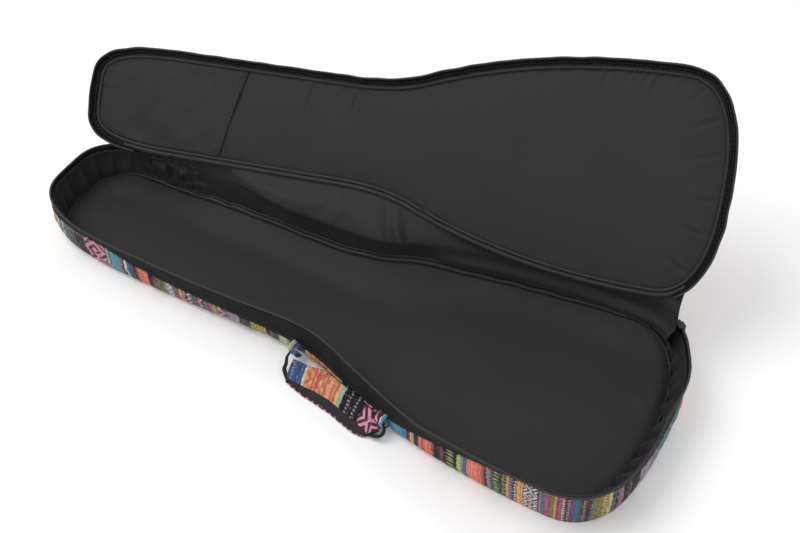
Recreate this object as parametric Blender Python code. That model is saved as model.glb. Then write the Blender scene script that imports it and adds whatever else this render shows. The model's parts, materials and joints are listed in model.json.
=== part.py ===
"""Ukulele gig bag, lying on its back with the lid folded open.

The tray is a back panel with an upright gusset round it. The near side and both ends of the
gusset carry the lower half of the zip, and the far side is the cloth hinge that holds the lid.
Metres, +X from the head to the tail, +Y to the hinge side, +Z up. The origin is on the outer
face of the back panel, halfway along it. The shoulder straps lie in hollows that they press
into this face, as they do under a bag that lies on them.
"""

import math

import bmesh
import bpy
from mathutils import Matrix, Vector

# Outline of the bag, measured from the head end along the bag
BAG_LENGTH = 0.660
NECK_HALF_WIDTH = 0.0605
BOUT_HALF_WIDTH = 0.1116
HEAD_ROUND_LENGTH = 0.124
HEAD_ROUNDNESS = 3.5
FLARE_START = 0.273
SHOULDER_PLACE = 0.358
SHOULDER_HALF_WIDTH = 0.0713
SHOULDER_SLOPE = 0.38
TAIL_ROUND_LENGTH = 0.068
TAIL_ROUNDNESS = 2.5

# Points along each stretch of half the outline
HEAD_STEPS = 11
NECK_STEPS = 3
FLARE_STEPS = 6
BOUT_STEPS = 8
TAIL_STEPS = 11

# Cloth, padding and seams
SEAM_GAP = 0.0003
CLOTH = 0.0016
LINING = 0.0014
FLOOR_PADDING = 0.0090
SIDE_PADDING = 0.0055
HINGE_PADDING = 0.0030
LID_PADDING = 0.0055
BINDING_RADIUS = 0.0021
BINDING_SIDES = 6
PAD_EDGE_ROUND = 0.0015
CROWN_WIDTH = 0.018
FLOOR_CROWN = 0.0012

# Heights of the tray and of the closed lid
STRAP_THICKNESS = 0.0030
STRAP_CLEARANCE = 0.0006
PATTERN_HEIGHT = 0.0320
ZIP_TAPE_HEIGHT = 0.0205
ZIP_TAPE = 0.0012
CHAIN_WIDTH = 0.0024
CHAIN_HEIGHT = 0.0027
HINGE_GUSSET_HEIGHT = 0.0605
HINGE_GUSSET_LEAN = 0.0035
CLOSED_LINING_HEIGHT = 0.0743
LID_EDGE_INSET = 0.0100
LID_SEAM_INSET = 0.0150
LID_RIM_INSET = 0.0060
LID_RIM_DEPTH = 0.0088
HINGE_LIFT = 0.0011

# Where the cloth hinge starts and ends on the far side, from the head and from the tail
HINGE_HEAD_PLACE = 0.060
HINGE_TAIL_MARGIN = 0.034
RIM_END_GAP = 0.004

# The lid's opening in the pose shown, from closed
LID_OPEN_DEG = 131.0

# Patch under the headstock, on the lid's lining
PATCH_LENGTH = 0.177
PATCH_SLANT = 0.020
PATCH_THICKNESS = 0.0011

# Pocket on the outside of the lid
POCKET_START = 0.348
POCKET_EDGE_INSET = 0.018
POCKET_THICKNESS = 0.0045
POCKET_ROUND = 0.0020
POCKET_ZIP_LENGTH = 0.096
POCKET_TAPE_WIDTH = 0.022
POCKET_CHAIN_WIDTH = 0.0046
POCKET_CHAIN_HEIGHT = 0.0020

# Zip sliders and their pull tabs
SLIDER_LENGTH = 0.010
SLIDER_TRAVEL = 0.006
SLIDER_PLATE = 0.0011
SLIDER_CLEARANCE = 0.0005
PULL_WIDTH = 0.0062
PULL_LENGTH = 0.024
PULL_THICKNESS = 0.0014
PULL_EYE = 0.0012
PULL_STAND_OFF = 0.0009

# Carrying handle on the near side, at the waist
HANDLE_HEAD_PLACE = 0.322
HANDLE_TAIL_PLACE = 0.434
HANDLE_AXIS_HEIGHT = 0.0180
HANDLE_STAND_OFF = 0.0076
GRIP_LENGTH = 0.094
GRIP_START = 0.0034
GRIP_WIDTH = 0.029
GRIP_HEIGHT = 0.0150
GRIP_LAYER = 0.0030
GRIP_FOLD = 0.0012
GRIP_MOUTH = 0.0062
GRIP_CROWN = 0.004
GRIP_SLICES = 9
HANDLE_WEBBING_WIDTH = 0.016
HANDLE_WEBBING_TIP = 0.0088
HANDLE_WEBBING = 0.0016
HANDLE_TURN = 0.012
HANDLE_STEPS = 3
ANCHOR_WIDTH = 0.014
ANCHOR_HEIGHT = 0.020
ANCHOR_ROLL = 0.0022
ANCHOR_ROLL_STEPS = 6

# Shoulder straps, flat under the back panel
STRAP_TOP_PLACE = 0.150
STRAP_TOP_OFFSET = 0.019
STRAP_BEND_PLACE = 0.300
STRAP_BEND_OFFSET = 0.030
STRAP_PAD_END = 0.430
STRAP_PAD_END_INSET = 0.0496
STRAP_FOOT_MARGIN = 0.045
STRAP_FOOT_INSET = 0.0336
STRAP_PAD_WIDTH = 0.030
STRAP_WEBBING_WIDTH = 0.020
STRAP_STEPS = 5
YOKE_LENGTH = 0.034
BUCKLE_LENGTH = 0.026
BUCKLE_WIDTH = 0.030
BUCKLE_BAR = 0.0035

# Levels and places worked out from the sizes above
BOUT_PLACE = BAG_LENGTH - TAIL_ROUND_LENGTH
HINGE_TAIL_PLACE = BAG_LENGTH - HINGE_TAIL_MARGIN
STRAP_PAD_END_OFFSET = BOUT_HALF_WIDTH - STRAP_PAD_END_INSET
STRAP_FOOT_PLACE = BAG_LENGTH - STRAP_FOOT_MARGIN
STRAP_FOOT_OFFSET = BOUT_HALF_WIDTH - STRAP_FOOT_INSET
BACK_BOTTOM = 0.0
BACK_TOP = BACK_BOTTOM + STRAP_THICKNESS + SEAM_GAP + CLOTH
PADDING_BOTTOM = BACK_TOP + SEAM_GAP
PADDING_TOP = PADDING_BOTTOM + FLOOR_PADDING
FLOOR_BOTTOM = PADDING_TOP + SEAM_GAP
FLOOR_TOP = FLOOR_BOTTOM + LINING
WALL_BOTTOM = BACK_TOP + SEAM_GAP
WALL_TOP = BACK_BOTTOM + PATTERN_HEIGHT
TAPE_BOTTOM = WALL_TOP + SEAM_GAP
TAPE_TOP = TAPE_BOTTOM + ZIP_TAPE_HEIGHT
CHAIN_BOTTOM = TAPE_TOP + SEAM_GAP
CHAIN_TOP = CHAIN_BOTTOM + CHAIN_HEIGHT
LID_CHAIN_BOTTOM = CLOSED_LINING_HEIGHT - LID_RIM_DEPTH
LID_CHAIN_TOP = LID_CHAIN_BOTTOM + CHAIN_HEIGHT
SIDE_PADDING_INSET = CLOTH + SEAM_GAP
SIDE_LINING_INSET = SIDE_PADDING_INSET + SIDE_PADDING + SEAM_GAP
TRAY_INSIDE = SIDE_LINING_INSET + LINING
CHAIN_INSET = 0.0004
TAPE_INSET = CHAIN_INSET + (CHAIN_WIDTH - ZIP_TAPE) / 2
LID_TAPE_INSET = LID_RIM_INSET + (CHAIN_WIDTH - ZIP_TAPE) / 2
LID_LINING_TOP = CLOSED_LINING_HEIGHT + LINING
LID_PADDING_BOTTOM = LID_LINING_TOP + SEAM_GAP
LID_PADDING_TOP = LID_PADDING_BOTTOM + LID_PADDING
LID_PANEL_BOTTOM = LID_PADDING_TOP + SEAM_GAP
LID_PANEL_TOP = LID_PANEL_BOTTOM + CLOTH
HINGE_HEIGHT = CLOSED_LINING_HEIGHT + HINGE_LIFT


def blend_half_width(place, start, start_width, start_slope, end, end_width, end_slope):
    """Half width at a place between two stations, as a cubic that keeps both slopes."""
    span = end - start
    t = (place - start) / span
    return ((2 * t ** 3 - 3 * t ** 2 + 1) * start_width
            + (t ** 3 - 2 * t ** 2 + t) * span * start_slope
            + (3 * t ** 2 - 2 * t ** 3) * end_width
            + (t ** 3 - t ** 2) * span * end_slope)


def half_outline():
    """Places and half widths from the middle of the head end to the middle of the tail."""
    points = []
    for step in range(HEAD_STEPS + 1):
        turn = math.pi / 2 * step / HEAD_STEPS
        place = HEAD_ROUND_LENGTH * (1 - max(math.cos(turn), 0.0) ** (2 / HEAD_ROUNDNESS))
        points.append((place, NECK_HALF_WIDTH * math.sin(turn) ** (2 / HEAD_ROUNDNESS)))
    for step in range(1, NECK_STEPS + 1):
        place = HEAD_ROUND_LENGTH + (FLARE_START - HEAD_ROUND_LENGTH) * step / NECK_STEPS
        points.append((place, NECK_HALF_WIDTH))
    for step in range(1, FLARE_STEPS + 1):
        place = FLARE_START + (SHOULDER_PLACE - FLARE_START) * step / FLARE_STEPS
        points.append((place, blend_half_width(
            place, FLARE_START, NECK_HALF_WIDTH, 0.0,
            SHOULDER_PLACE, SHOULDER_HALF_WIDTH, SHOULDER_SLOPE)))
    for step in range(1, BOUT_STEPS + 1):
        place = SHOULDER_PLACE + (BOUT_PLACE - SHOULDER_PLACE) * step / BOUT_STEPS
        points.append((place, blend_half_width(
            place, SHOULDER_PLACE, SHOULDER_HALF_WIDTH, SHOULDER_SLOPE,
            BOUT_PLACE, BOUT_HALF_WIDTH, 0.0)))
    for step in range(1, TAIL_STEPS + 1):
        turn = math.pi / 2 * (1 - step / TAIL_STEPS)
        place = BOUT_PLACE + TAIL_ROUND_LENGTH * math.cos(turn) ** (2 / TAIL_ROUNDNESS)
        points.append((place, BOUT_HALF_WIDTH * math.sin(turn) ** (2 / TAIL_ROUNDNESS)))
    return points


def bag_stations():
    """Closed loop of (point, inward normal): head, far side, tail, near side, head."""
    half = half_outline()
    loop = [Vector((place - BAG_LENGTH / 2, width)) for place, width in half]
    loop += [Vector((place - BAG_LENGTH / 2, -width)) for place, width in half[-2:0:-1]]
    stations = []
    for index, point in enumerate(loop):
        before = (point - loop[index - 1]).normalized()
        after = (loop[(index + 1) % len(loop)] - point).normalized()
        along = (before + after).normalized()
        stations.append((point, Vector((along.y, -along.x))))
    return stations


def between(first, second, share):
    """Station at a share of the way from one station to the next."""
    point = first[0].lerp(second[0], share)
    return point, first[1].lerp(second[1], share).normalized()


def station_at(stations, place, far_side=True):
    """Station where the outline reaches a place along the bag, and its index."""
    x = place - BAG_LENGTH / 2
    middle = len(stations) // 2
    span = range(0, middle) if far_side else range(len(stations) - 1, middle - 1, -1)
    for index in span:
        other = index + 1 if far_side else index
        here = index if far_side else (index + 1) % len(stations)
        first = stations[here]
        second = stations[other]
        if first[0].x <= x <= second[0].x and second[0].x > first[0].x:
            share = (x - first[0].x) / (second[0].x - first[0].x)
            return between(first, second, share), index
    raise ValueError("the outline does not reach the place " + str(place))


def far_stretch(stations, start_place, end_place):
    """Stations along the far side between two places."""
    start, start_index = station_at(stations, start_place)
    end, end_index = station_at(stations, end_place)
    return [start] + stations[start_index + 1:end_index + 1] + [end]


def zip_stretch(stations, head_place, tail_place):
    """Stations from the far side round the tail, the near side and the head."""
    start, start_index = station_at(stations, tail_place)
    end, end_index = station_at(stations, head_place)
    return [start] + stations[start_index + 1:] + stations[:end_index + 1] + [end]


def inset_point(station, inset, height):
    """Point at an inset from the outline and at a height."""
    point, normal = station
    return Vector((point.x + normal.x * inset, point.y + normal.y * inset, height))


def fabric(name, colour, roughness, metallic=0.0):
    """Material with a Principled shader."""
    material = bpy.data.materials.new(name)
    material.use_nodes = True
    shader = material.node_tree.nodes["Principled BSDF"]
    shader.inputs["Base Color"].default_value = (*colour, 1.0)
    shader.inputs["Roughness"].default_value = roughness
    shader.inputs["Metallic"].default_value = metallic
    material.diffuse_color = (*colour, 1.0)
    return material


def add_object(name, mesh_builder, material, parent=None, smooth=True):
    """Object from a filled bmesh, with its material and parent."""
    mesh = bpy.data.meshes.new(name)
    bmesh.ops.recalc_face_normals(mesh_builder, faces=mesh_builder.faces)
    mesh_builder.to_mesh(mesh)
    mesh_builder.free()
    mesh.materials.append(material)
    if smooth:
        mesh.shade_smooth()
        mesh.set_sharp_from_angle(angle=math.radians(40))
    piece = bpy.data.objects.new(name, mesh)
    bpy.context.scene.collection.objects.link(piece)
    piece.parent = parent
    return piece


def bridge_rings(builder, rings, closed_run, closed_ring=True):
    """Faces between rings of vertices that have the same count."""
    count = len(rings[0])
    runs = len(rings) if closed_run else len(rings) - 1
    for run in range(runs):
        ring = rings[run]
        following = rings[(run + 1) % len(rings)]
        for index in range(count if closed_ring else count - 1):
            other = (index + 1) % count
            builder.faces.new((ring[index], ring[other], following[other], following[index]))


def loft(name, rings, material, parent=None, smooth=True):
    """Closed solid through rings of points, capped at both ends."""
    builder = bmesh.new()
    made = [[builder.verts.new(point) for point in ring] for ring in rings]
    bridge_rings(builder, made, closed_run=False)
    builder.faces.new(made[0])
    builder.faces.new(made[-1])
    return add_object(name, builder, material, parent, smooth)


def sweep(name, stations, profile, closed, material, origin=None, parent=None):
    """Profile of (inset, height) points swept along stations of the outline."""
    shift = origin or Vector((0.0, 0.0, 0.0))
    builder = bmesh.new()
    rings = []
    for station in stations:
        ring = [builder.verts.new(inset_point(station, inset, height) - shift)
                for inset, height in profile]
        rings.append(ring)
    bridge_rings(builder, rings, closed_run=closed)
    if not closed:
        builder.faces.new(rings[0])
        builder.faces.new(rings[-1])
    return add_object(name, builder, material, parent)


def slab(name, stations, levels, material, origin=None, parent=None):
    """Flat padded piece whose edge runs through (inset, height) levels."""
    shift = origin or Vector((0.0, 0.0, 0.0))
    rings = [[inset_point(station, inset, height) - shift for station in stations]
             for inset, height in levels]
    return loft(name, rings, material, parent)


def band(inset, bottom, top, thickness, lean=0.0):
    """Profile of an upright band of cloth that may lean inward."""
    return [(inset, bottom), (inset + thickness, bottom),
            (inset + thickness + lean, top), (inset + lean, top)]


def round_profile(inset, height, radius, sides):
    """Profile of a round binding."""
    return [(inset + radius * math.cos(2 * math.pi * step / sides),
             height + radius * math.sin(2 * math.pi * step / sides)) for step in range(sides)]


def prism(name, profile, half_length, material, parent=None, smooth=False):
    """Straight prism along X of a profile of (y, z) points."""
    rings = [[Vector((x, y, z)) for y, z in profile] for x in (-half_length, half_length)]
    return loft(name, rings, material, parent, smooth)


def place_empty(name, location, rotation, parent=None):
    """Empty that holds a moving piece on its joint's axis."""
    holder = bpy.data.objects.new(name, None)
    bpy.context.scene.collection.objects.link(holder)
    holder.parent = parent
    holder.matrix_local = Matrix.Translation(location) @ rotation.to_matrix().to_4x4()
    return holder


def hinge_line(stations):
    """Straight line that touches the lid's seam at the shoulder side and at the lower bout."""
    seam = [inset_point(station, LID_SEAM_INSET, 0.0)
            for station in stations[1:len(stations) // 2]]
    best = None
    for index, first in enumerate(seam):
        for second in seam[index + 1:]:
            run = second - first
            if run.x <= 0:
                continue
            highest = max(point.y - (first.y + run.y * (point.x - first.x) / run.x)
                          for point in seam)
            if highest < 1e-6 and (best is None or run.length > best[1]):
                best = ((first, second), run.length)
    (first, second), _ = best
    angle = math.atan2(second.y - first.y, second.x - first.x)
    middle = Vector((0.0, first.y - first.x * math.tan(angle), HINGE_HEIGHT))
    return middle, angle


def build_tray(stations, materials):
    """Back panel, padding, linings, gussets and the lower half of the zip."""
    cloth = materials["woven_cloth"]
    nylon = materials["black_lining"]
    foam = materials["foam"]
    panel = slab("back_panel", stations,
                 [(PAD_EDGE_ROUND, BACK_BOTTOM), (0.0, BACK_BOTTOM + PAD_EDGE_ROUND),
                  (0.0, BACK_TOP)], cloth)
    for cutter in strap_cutters(cloth):
        groove = panel.modifiers.new(cutter.name, "BOOLEAN")
        groove.operation = "DIFFERENCE"
        groove.object = cutter
    inside = TRAY_INSIDE + SEAM_GAP
    slab("back_padding", stations,
         [(inside, PADDING_BOTTOM), (inside, PADDING_TOP)], foam)
    slab("floor_lining", stations,
         [(inside, FLOOR_BOTTOM), (inside, FLOOR_TOP),
          (inside + CROWN_WIDTH, FLOOR_TOP + FLOOR_CROWN)], nylon)
    binding_height = FLOOR_TOP + FLOOR_CROWN + SEAM_GAP + BINDING_RADIUS
    wall_lean = HINGE_GUSSET_LEAN * (binding_height + BINDING_RADIUS) / HINGE_GUSSET_HEIGHT
    binding_inset = inside + BINDING_RADIUS + wall_lean
    sweep("floor_binding", stations,
          round_profile(binding_inset, binding_height, BINDING_RADIUS, BINDING_SIDES),
          True, materials["binding"])

    zip_run = zip_stretch(stations, HINGE_HEAD_PLACE, HINGE_TAIL_PLACE)
    sweep("side_gusset", zip_run, band(0.0, WALL_BOTTOM, WALL_TOP, CLOTH), False, cloth)
    sweep("side_padding", zip_run,
          band(SIDE_PADDING_INSET, WALL_BOTTOM, WALL_TOP - LINING - SEAM_GAP,
               SIDE_LINING_INSET - SEAM_GAP - SIDE_PADDING_INSET), False, foam)
    sweep("side_lining", zip_run,
          [(SIDE_LINING_INSET, WALL_BOTTOM), (TRAY_INSIDE, WALL_BOTTOM),
           (TRAY_INSIDE, WALL_TOP), (SIDE_PADDING_INSET, WALL_TOP),
           (SIDE_PADDING_INSET, WALL_TOP - LINING), (SIDE_LINING_INSET, WALL_TOP - LINING)],
          False, nylon)
    sweep("lower_zip_tape", zip_run, band(TAPE_INSET, TAPE_BOTTOM, TAPE_TOP, ZIP_TAPE),
          False, materials["zip_tape"])
    sweep("lower_zip_chain", zip_run, band(CHAIN_INSET, CHAIN_BOTTOM, CHAIN_TOP, CHAIN_WIDTH),
          False, materials["zip_chain"])

    hinge_run = far_stretch(stations, HINGE_HEAD_PLACE + SEAM_GAP, HINGE_TAIL_PLACE - SEAM_GAP)
    hinge_top = BACK_BOTTOM + HINGE_GUSSET_HEIGHT
    sweep("hinge_gusset", hinge_run,
          band(0.0, WALL_BOTTOM, hinge_top, CLOTH, HINGE_GUSSET_LEAN), False, cloth)
    sweep("hinge_lining", hinge_run,
          band(SIDE_PADDING_INSET, WALL_BOTTOM, hinge_top, LINING + HINGE_PADDING,
               HINGE_GUSSET_LEAN), False, nylon)


def build_hinge_web(stations, axis_point, opened, materials):
    """Slack cloth from the top of the hinge gusset to the edge of the open lid."""
    run = far_stretch(stations, HINGE_HEAD_PLACE + SEAM_GAP, HINGE_TAIL_PLACE - SEAM_GAP)
    bottom = BACK_BOTTOM + HINGE_GUSSET_HEIGHT + SEAM_GAP
    edge_inset = LID_EDGE_INSET - SEAM_GAP * 3
    edge_height = LID_PANEL_TOP - CLOTH
    builder = bmesh.new()
    rings = []
    for station in run:
        foot = inset_point(station, HINGE_GUSSET_LEAN, bottom)
        foot_inner = inset_point(station, HINGE_GUSSET_LEAN + CLOTH, bottom)
        edge = opened @ (inset_point(station, edge_inset, edge_height) - axis_point) + axis_point
        edge_inner = opened @ (inset_point(station, edge_inset, edge_height - CLOTH)
                               - axis_point) + axis_point
        middle = (foot + edge) / 2
        middle_inner = (foot_inner + edge_inner) / 2
        ring = [foot, foot_inner, middle_inner, edge_inner, edge, middle]
        rings.append([builder.verts.new(point) for point in ring])
    bridge_rings(builder, rings, closed_run=False)
    builder.faces.new(rings[0])
    builder.faces.new(rings[-1])
    bmesh.ops.triangulate(builder, faces=builder.faces)
    add_object("hinge_web", builder, materials["black_lining"])


def rim_end_places(stations, axis_point, angle):
    """Places on the far side where the outline crosses the hinge line, at head and tail."""
    middle = len(stations) // 2
    crossings = []
    for index in range(middle):
        sides = []
        for station in (stations[index], stations[index + 1]):
            point = station[0]
            sides.append(point.y - axis_point.y - (point.x - axis_point.x) * math.tan(angle))
        if sides[0] * sides[1] < 0:
            share = sides[0] / (sides[0] - sides[1])
            place = stations[index][0].lerp(stations[index + 1][0], share).x + BAG_LENGTH / 2
            crossings.append(place)
    return min(crossings), max(crossings)


def build_lid(stations, axis_point, angle, holder, materials):
    """Lid built in its closed place, then carried open by the empty on the hinge line."""
    cloth = materials["woven_cloth"]
    nylon = materials["black_lining"]
    edge = LID_EDGE_INSET
    common = {"origin": axis_point, "parent": holder}
    slab("lid_lining", stations,
         [(edge + CROWN_WIDTH, CLOSED_LINING_HEIGHT - FLOOR_CROWN),
          (edge + SEAM_GAP * 3, CLOSED_LINING_HEIGHT), (edge + SEAM_GAP * 3, LID_LINING_TOP)],
         nylon, **common)
    slab("lid_padding", stations,
         [(edge + SEAM_GAP * 3, LID_PADDING_BOTTOM), (edge + SEAM_GAP * 3, LID_PADDING_TOP)],
         materials["foam"], **common)
    slab("lid_panel", stations,
         [(edge, LID_PANEL_BOTTOM), (edge, LID_PANEL_TOP - CLOTH / 2),
          (edge + PAD_EDGE_ROUND, LID_PANEL_TOP)], cloth, **common)
    binding_height = CLOSED_LINING_HEIGHT - FLOOR_CROWN - SEAM_GAP - BINDING_RADIUS
    sweep("lid_binding", stations,
          round_profile(LID_SEAM_INSET, binding_height, BINDING_RADIUS, BINDING_SIDES),
          True, materials["binding"], **common)

    head_end, tail_end = rim_end_places(stations, axis_point, angle)
    rim_run = zip_stretch(stations, min(head_end, HINGE_HEAD_PLACE - RIM_END_GAP),
                          max(tail_end, HINGE_TAIL_PLACE + RIM_END_GAP))
    tape_foot = LID_CHAIN_TOP + SEAM_GAP
    tape_head = LID_PANEL_BOTTOM - SEAM_GAP
    sweep("upper_zip_tape", rim_run,
          [(LID_TAPE_INSET, tape_foot), (LID_TAPE_INSET + ZIP_TAPE, tape_foot),
           (edge + SEAM_GAP * 2, CLOSED_LINING_HEIGHT - ZIP_TAPE),
           (edge + SEAM_GAP * 2, tape_head), (edge - ZIP_TAPE, tape_head)],
          False, materials["zip_tape"], **common)
    slider_room = SLIDER_LENGTH + SLIDER_TRAVEL + RIM_END_GAP
    chain_run = zip_stretch(stations, min(head_end, HINGE_HEAD_PLACE - slider_room),
                            max(tail_end, HINGE_TAIL_PLACE + slider_room))
    sweep("upper_zip_chain", chain_run,
          band(LID_RIM_INSET, LID_CHAIN_BOTTOM, LID_CHAIN_TOP, CHAIN_WIDTH), False,
          materials["zip_chain"], **common)


def lid_inner_edge(stations, inset, place, far_side):
    """Point of the inset outline at a place along the bag."""
    station, _ = station_at(stations, place, far_side)
    return inset_point(station, inset, 0.0)


def build_patch(stations, axis_point, holder, materials):
    """Patch that saves the lining from the headstock, with a slanted end seam."""
    inset = LID_SEAM_INSET + BINDING_RADIUS + SEAM_GAP * 2
    near_place = PATCH_LENGTH
    far_place = PATCH_LENGTH - PATCH_SLANT
    run = zip_stretch(stations, far_place, BAG_LENGTH / 2)
    start_x = near_place - BAG_LENGTH / 2
    ring = [inset_point(station, inset, 0.0) for station in run]
    near = [point for point in ring if point.y < 0 and point.x < start_x]
    rest = [point for point in ring if point.y >= 0 and point.x < far_place - BAG_LENGTH / 2]
    start = lid_inner_edge(stations, inset, near_place, far_side=False)
    end = lid_inner_edge(stations, inset, far_place, far_side=True)
    outline = [start] + near + rest + [end]
    top = CLOSED_LINING_HEIGHT - FLOOR_CROWN - SEAM_GAP
    rings = [[Vector((point.x, point.y, height)) - axis_point for point in outline]
             for height in (top - PATCH_THICKNESS, top)]
    loft("headstock_patch", rings, materials["patch"], holder)


def build_pocket(stations, axis_point, holder, materials):
    """Flat pocket over the lower bout, with a straight zip across its mouth."""
    pocket_x = POCKET_START - BAG_LENGTH / 2
    edge = [inset_point(station, POCKET_EDGE_INSET, 0.0) for station in stations]
    edge = [point for point in edge if point.x > pocket_x]
    start = lid_inner_edge(stations, POCKET_EDGE_INSET, POCKET_START, far_side=True)
    end = lid_inner_edge(stations, POCKET_EDGE_INSET, POCKET_START, far_side=False)
    outline = [start] + edge + [end]
    centre = sum(outline, Vector()) / len(outline)
    bottom = LID_PANEL_TOP + SEAM_GAP
    top = bottom + POCKET_THICKNESS
    rings = []
    for shrink, height in ((0.0, bottom), (0.0, top - POCKET_ROUND), (POCKET_ROUND, top)):
        ring = []
        for point in outline:
            inward = (centre - point).normalized() * shrink
            ring.append(Vector((point.x + inward.x, point.y + inward.y, height)) - axis_point)
        rings.append(ring)
    loft("pocket_panel", rings, materials["woven_cloth"], holder)

    zip_x = pocket_x - SEAM_GAP - POCKET_TAPE_WIDTH / 2
    half = POCKET_ZIP_LENGTH / 2
    tape_run = [(Vector((zip_x, -half)), Vector((1.0, 0.0))),
                (Vector((zip_x, half)), Vector((1.0, 0.0)))]
    tape_half = POCKET_TAPE_WIDTH / 2
    tape_top = bottom + ZIP_TAPE
    sweep("pocket_zip_tape", tape_run,
          band(-tape_half, bottom, tape_top, POCKET_TAPE_WIDTH), False,
          materials["zip_tape"], axis_point, holder)
    chain_bottom = tape_top + SEAM_GAP
    chain_half = POCKET_CHAIN_WIDTH / 2
    sweep("pocket_zip_chain", tape_run,
          band(-chain_half, chain_bottom, chain_bottom + POCKET_CHAIN_HEIGHT,
               POCKET_CHAIN_WIDTH), False, materials["zip_chain"], axis_point, holder)
    return Vector((zip_x, -half, chain_bottom))


def slider_profile(chain_width, chain_height):
    """Channel that runs over a zip chain, open at its underside."""
    inner = chain_width / 2 + SLIDER_CLEARANCE
    outer = inner + SLIDER_PLATE
    roof = chain_height + SLIDER_CLEARANCE
    return [(-outer, 0.0), (-inner, 0.0), (-inner, roof), (inner, roof), (inner, 0.0),
            (outer, 0.0), (outer, roof + SLIDER_PLATE), (-outer, roof + SLIDER_PLATE)]


def build_pull(name, material, parent):
    """Pull tab with an eye, hanging down from its axis at the origin."""
    half = PULL_WIDTH / 2
    outline = [(half, PULL_EYE), (half, -PULL_LENGTH + half)]
    outline += [(half * math.cos(math.pi * step / 4), -PULL_LENGTH + half
                 - half * math.sin(math.pi * step / 4)) for step in range(1, 4)]
    outline += [(-half, -PULL_LENGTH + half), (-half, PULL_EYE)]
    rings = [[Vector((x, y, z)) for x, z in outline]
             for y in (-PULL_THICKNESS / 2, PULL_THICKNESS / 2)]
    tab = loft(name, rings, material, parent, smooth=False)
    return tab


def build_rim_slider(stations, name, place, towards_head, materials):
    """Slider on the lower zip chain at one end of the zip, with its pull tab."""
    travel_end = place - SLIDER_LENGTH if towards_head else place + SLIDER_LENGTH
    station, _ = station_at(stations, (place + travel_end) / 2)
    centre = inset_point(station, CHAIN_INSET + CHAIN_WIDTH / 2, CHAIN_BOTTOM)
    along = math.atan2(station[1].x, -station[1].y)
    holder = place_empty(name + "_holder", centre, Matrix.Rotation(along, 3, "Z").to_quaternion())
    prism("zip_slider_" + name, slider_profile(CHAIN_WIDTH, CHAIN_HEIGHT),
          SLIDER_LENGTH / 2, materials["metal"], holder)
    outer = CHAIN_WIDTH / 2 + SLIDER_CLEARANCE + SLIDER_PLATE
    hinge = Vector((0.0, outer + PULL_STAND_OFF + PULL_THICKNESS / 2, CHAIN_HEIGHT / 2))
    pull_holder = place_empty(name + "_pull_holder", hinge,
                              Matrix.Identity(3).to_quaternion(), holder)
    build_pull("pull_tab_" + name, materials["metal"], pull_holder)


def build_pocket_slider(start, axis_point, holder, materials):
    """Slider and pull tab of the pocket zip, at the near end of its travel."""
    centre = start + Vector((0.0, SLIDER_LENGTH / 2 + SEAM_GAP, 0.0)) - axis_point
    slider_holder = place_empty("pocket_slider_holder", centre,
                                Matrix.Rotation(math.pi / 2, 3, "Z").to_quaternion(), holder)
    prism("pocket_zip_slider", slider_profile(POCKET_CHAIN_WIDTH, POCKET_CHAIN_HEIGHT),
          SLIDER_LENGTH / 2, materials["metal"], slider_holder)
    roof = POCKET_CHAIN_HEIGHT + SLIDER_CLEARANCE + SLIDER_PLATE
    hinge = Vector((0.0, 0.0, roof + PULL_STAND_OFF + PULL_THICKNESS / 2))
    hang = math.radians(LID_OPEN_DEG)
    turn = Matrix.Rotation(-math.pi / 2, 3, "Z") @ Matrix.Rotation(hang, 3, "X")
    pull_holder = place_empty("pocket_pull_holder", hinge, turn.to_quaternion(), slider_holder)
    build_pull("pocket_pull_tab", materials["metal"], pull_holder)


def handle_frame(stations):
    """Middle of the line through the handle's anchors, and the line's angle."""
    first = station_at(stations, HANDLE_HEAD_PLACE, far_side=False)[0][0]
    second = station_at(stations, HANDLE_TAIL_PLACE, far_side=False)[0][0]
    run = second - first
    angle = math.atan2(run.y, run.x)
    outward = Vector((math.sin(angle), -math.cos(angle)))
    middle = (first + second) / 2 + outward * HANDLE_STAND_OFF
    return Vector((middle.x, middle.y, HANDLE_AXIS_HEIGHT)), angle, run.length


def grip_section(top, low, mouth_middle):
    """Section of the folded grip, as (reach, height): two layers that part at the outer side."""
    corner = GRIP_LAYER + GRIP_FOLD
    fold = GRIP_LAYER + GRIP_FOLD * 1.5
    mouth_top = mouth_middle + GRIP_MOUTH / 2
    mouth_low = mouth_middle - GRIP_MOUTH / 2
    short = GRIP_WIDTH - GRIP_LAYER / 2
    return [(0.0, low + GRIP_LAYER), (0.0, top - GRIP_LAYER), (corner, top),
            (GRIP_WIDTH, mouth_top + GRIP_LAYER), (GRIP_WIDTH, mouth_top),
            (fold, top - GRIP_LAYER), (fold, low + GRIP_LAYER), (short, mouth_low),
            (short, mouth_low - GRIP_LAYER), (corner, low)]


def anchor_section(axis_reach):
    """Section of an anchor, as (inset, height): flat tab, and a lug rolled round the axis."""
    low = HANDLE_AXIS_HEIGHT - ANCHOR_HEIGHT / 2
    high = HANDLE_AXIS_HEIGHT + ANCHOR_HEIGHT / 2
    inner = SEAM_GAP * 2
    outer = inner + HANDLE_WEBBING
    lug = HANDLE_WEBBING / 2
    neck = math.pi - math.asin(lug / ANCHOR_ROLL)
    roll = []
    for step in range(ANCHOR_ROLL_STEPS + 1):
        turn = -neck + 2 * neck * step / ANCHOR_ROLL_STEPS
        roll.append((axis_reach + ANCHOR_ROLL * math.cos(turn),
                     HANDLE_AXIS_HEIGHT + ANCHOR_ROLL * math.sin(turn)))
    points = [(inner, low), (outer, low), (outer, HANDLE_AXIS_HEIGHT - lug)] + roll
    points += [(outer, HANDLE_AXIS_HEIGHT + lug), (outer, high), (inner, high)]
    return [(-reach, height) for reach, height in points]


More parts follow.
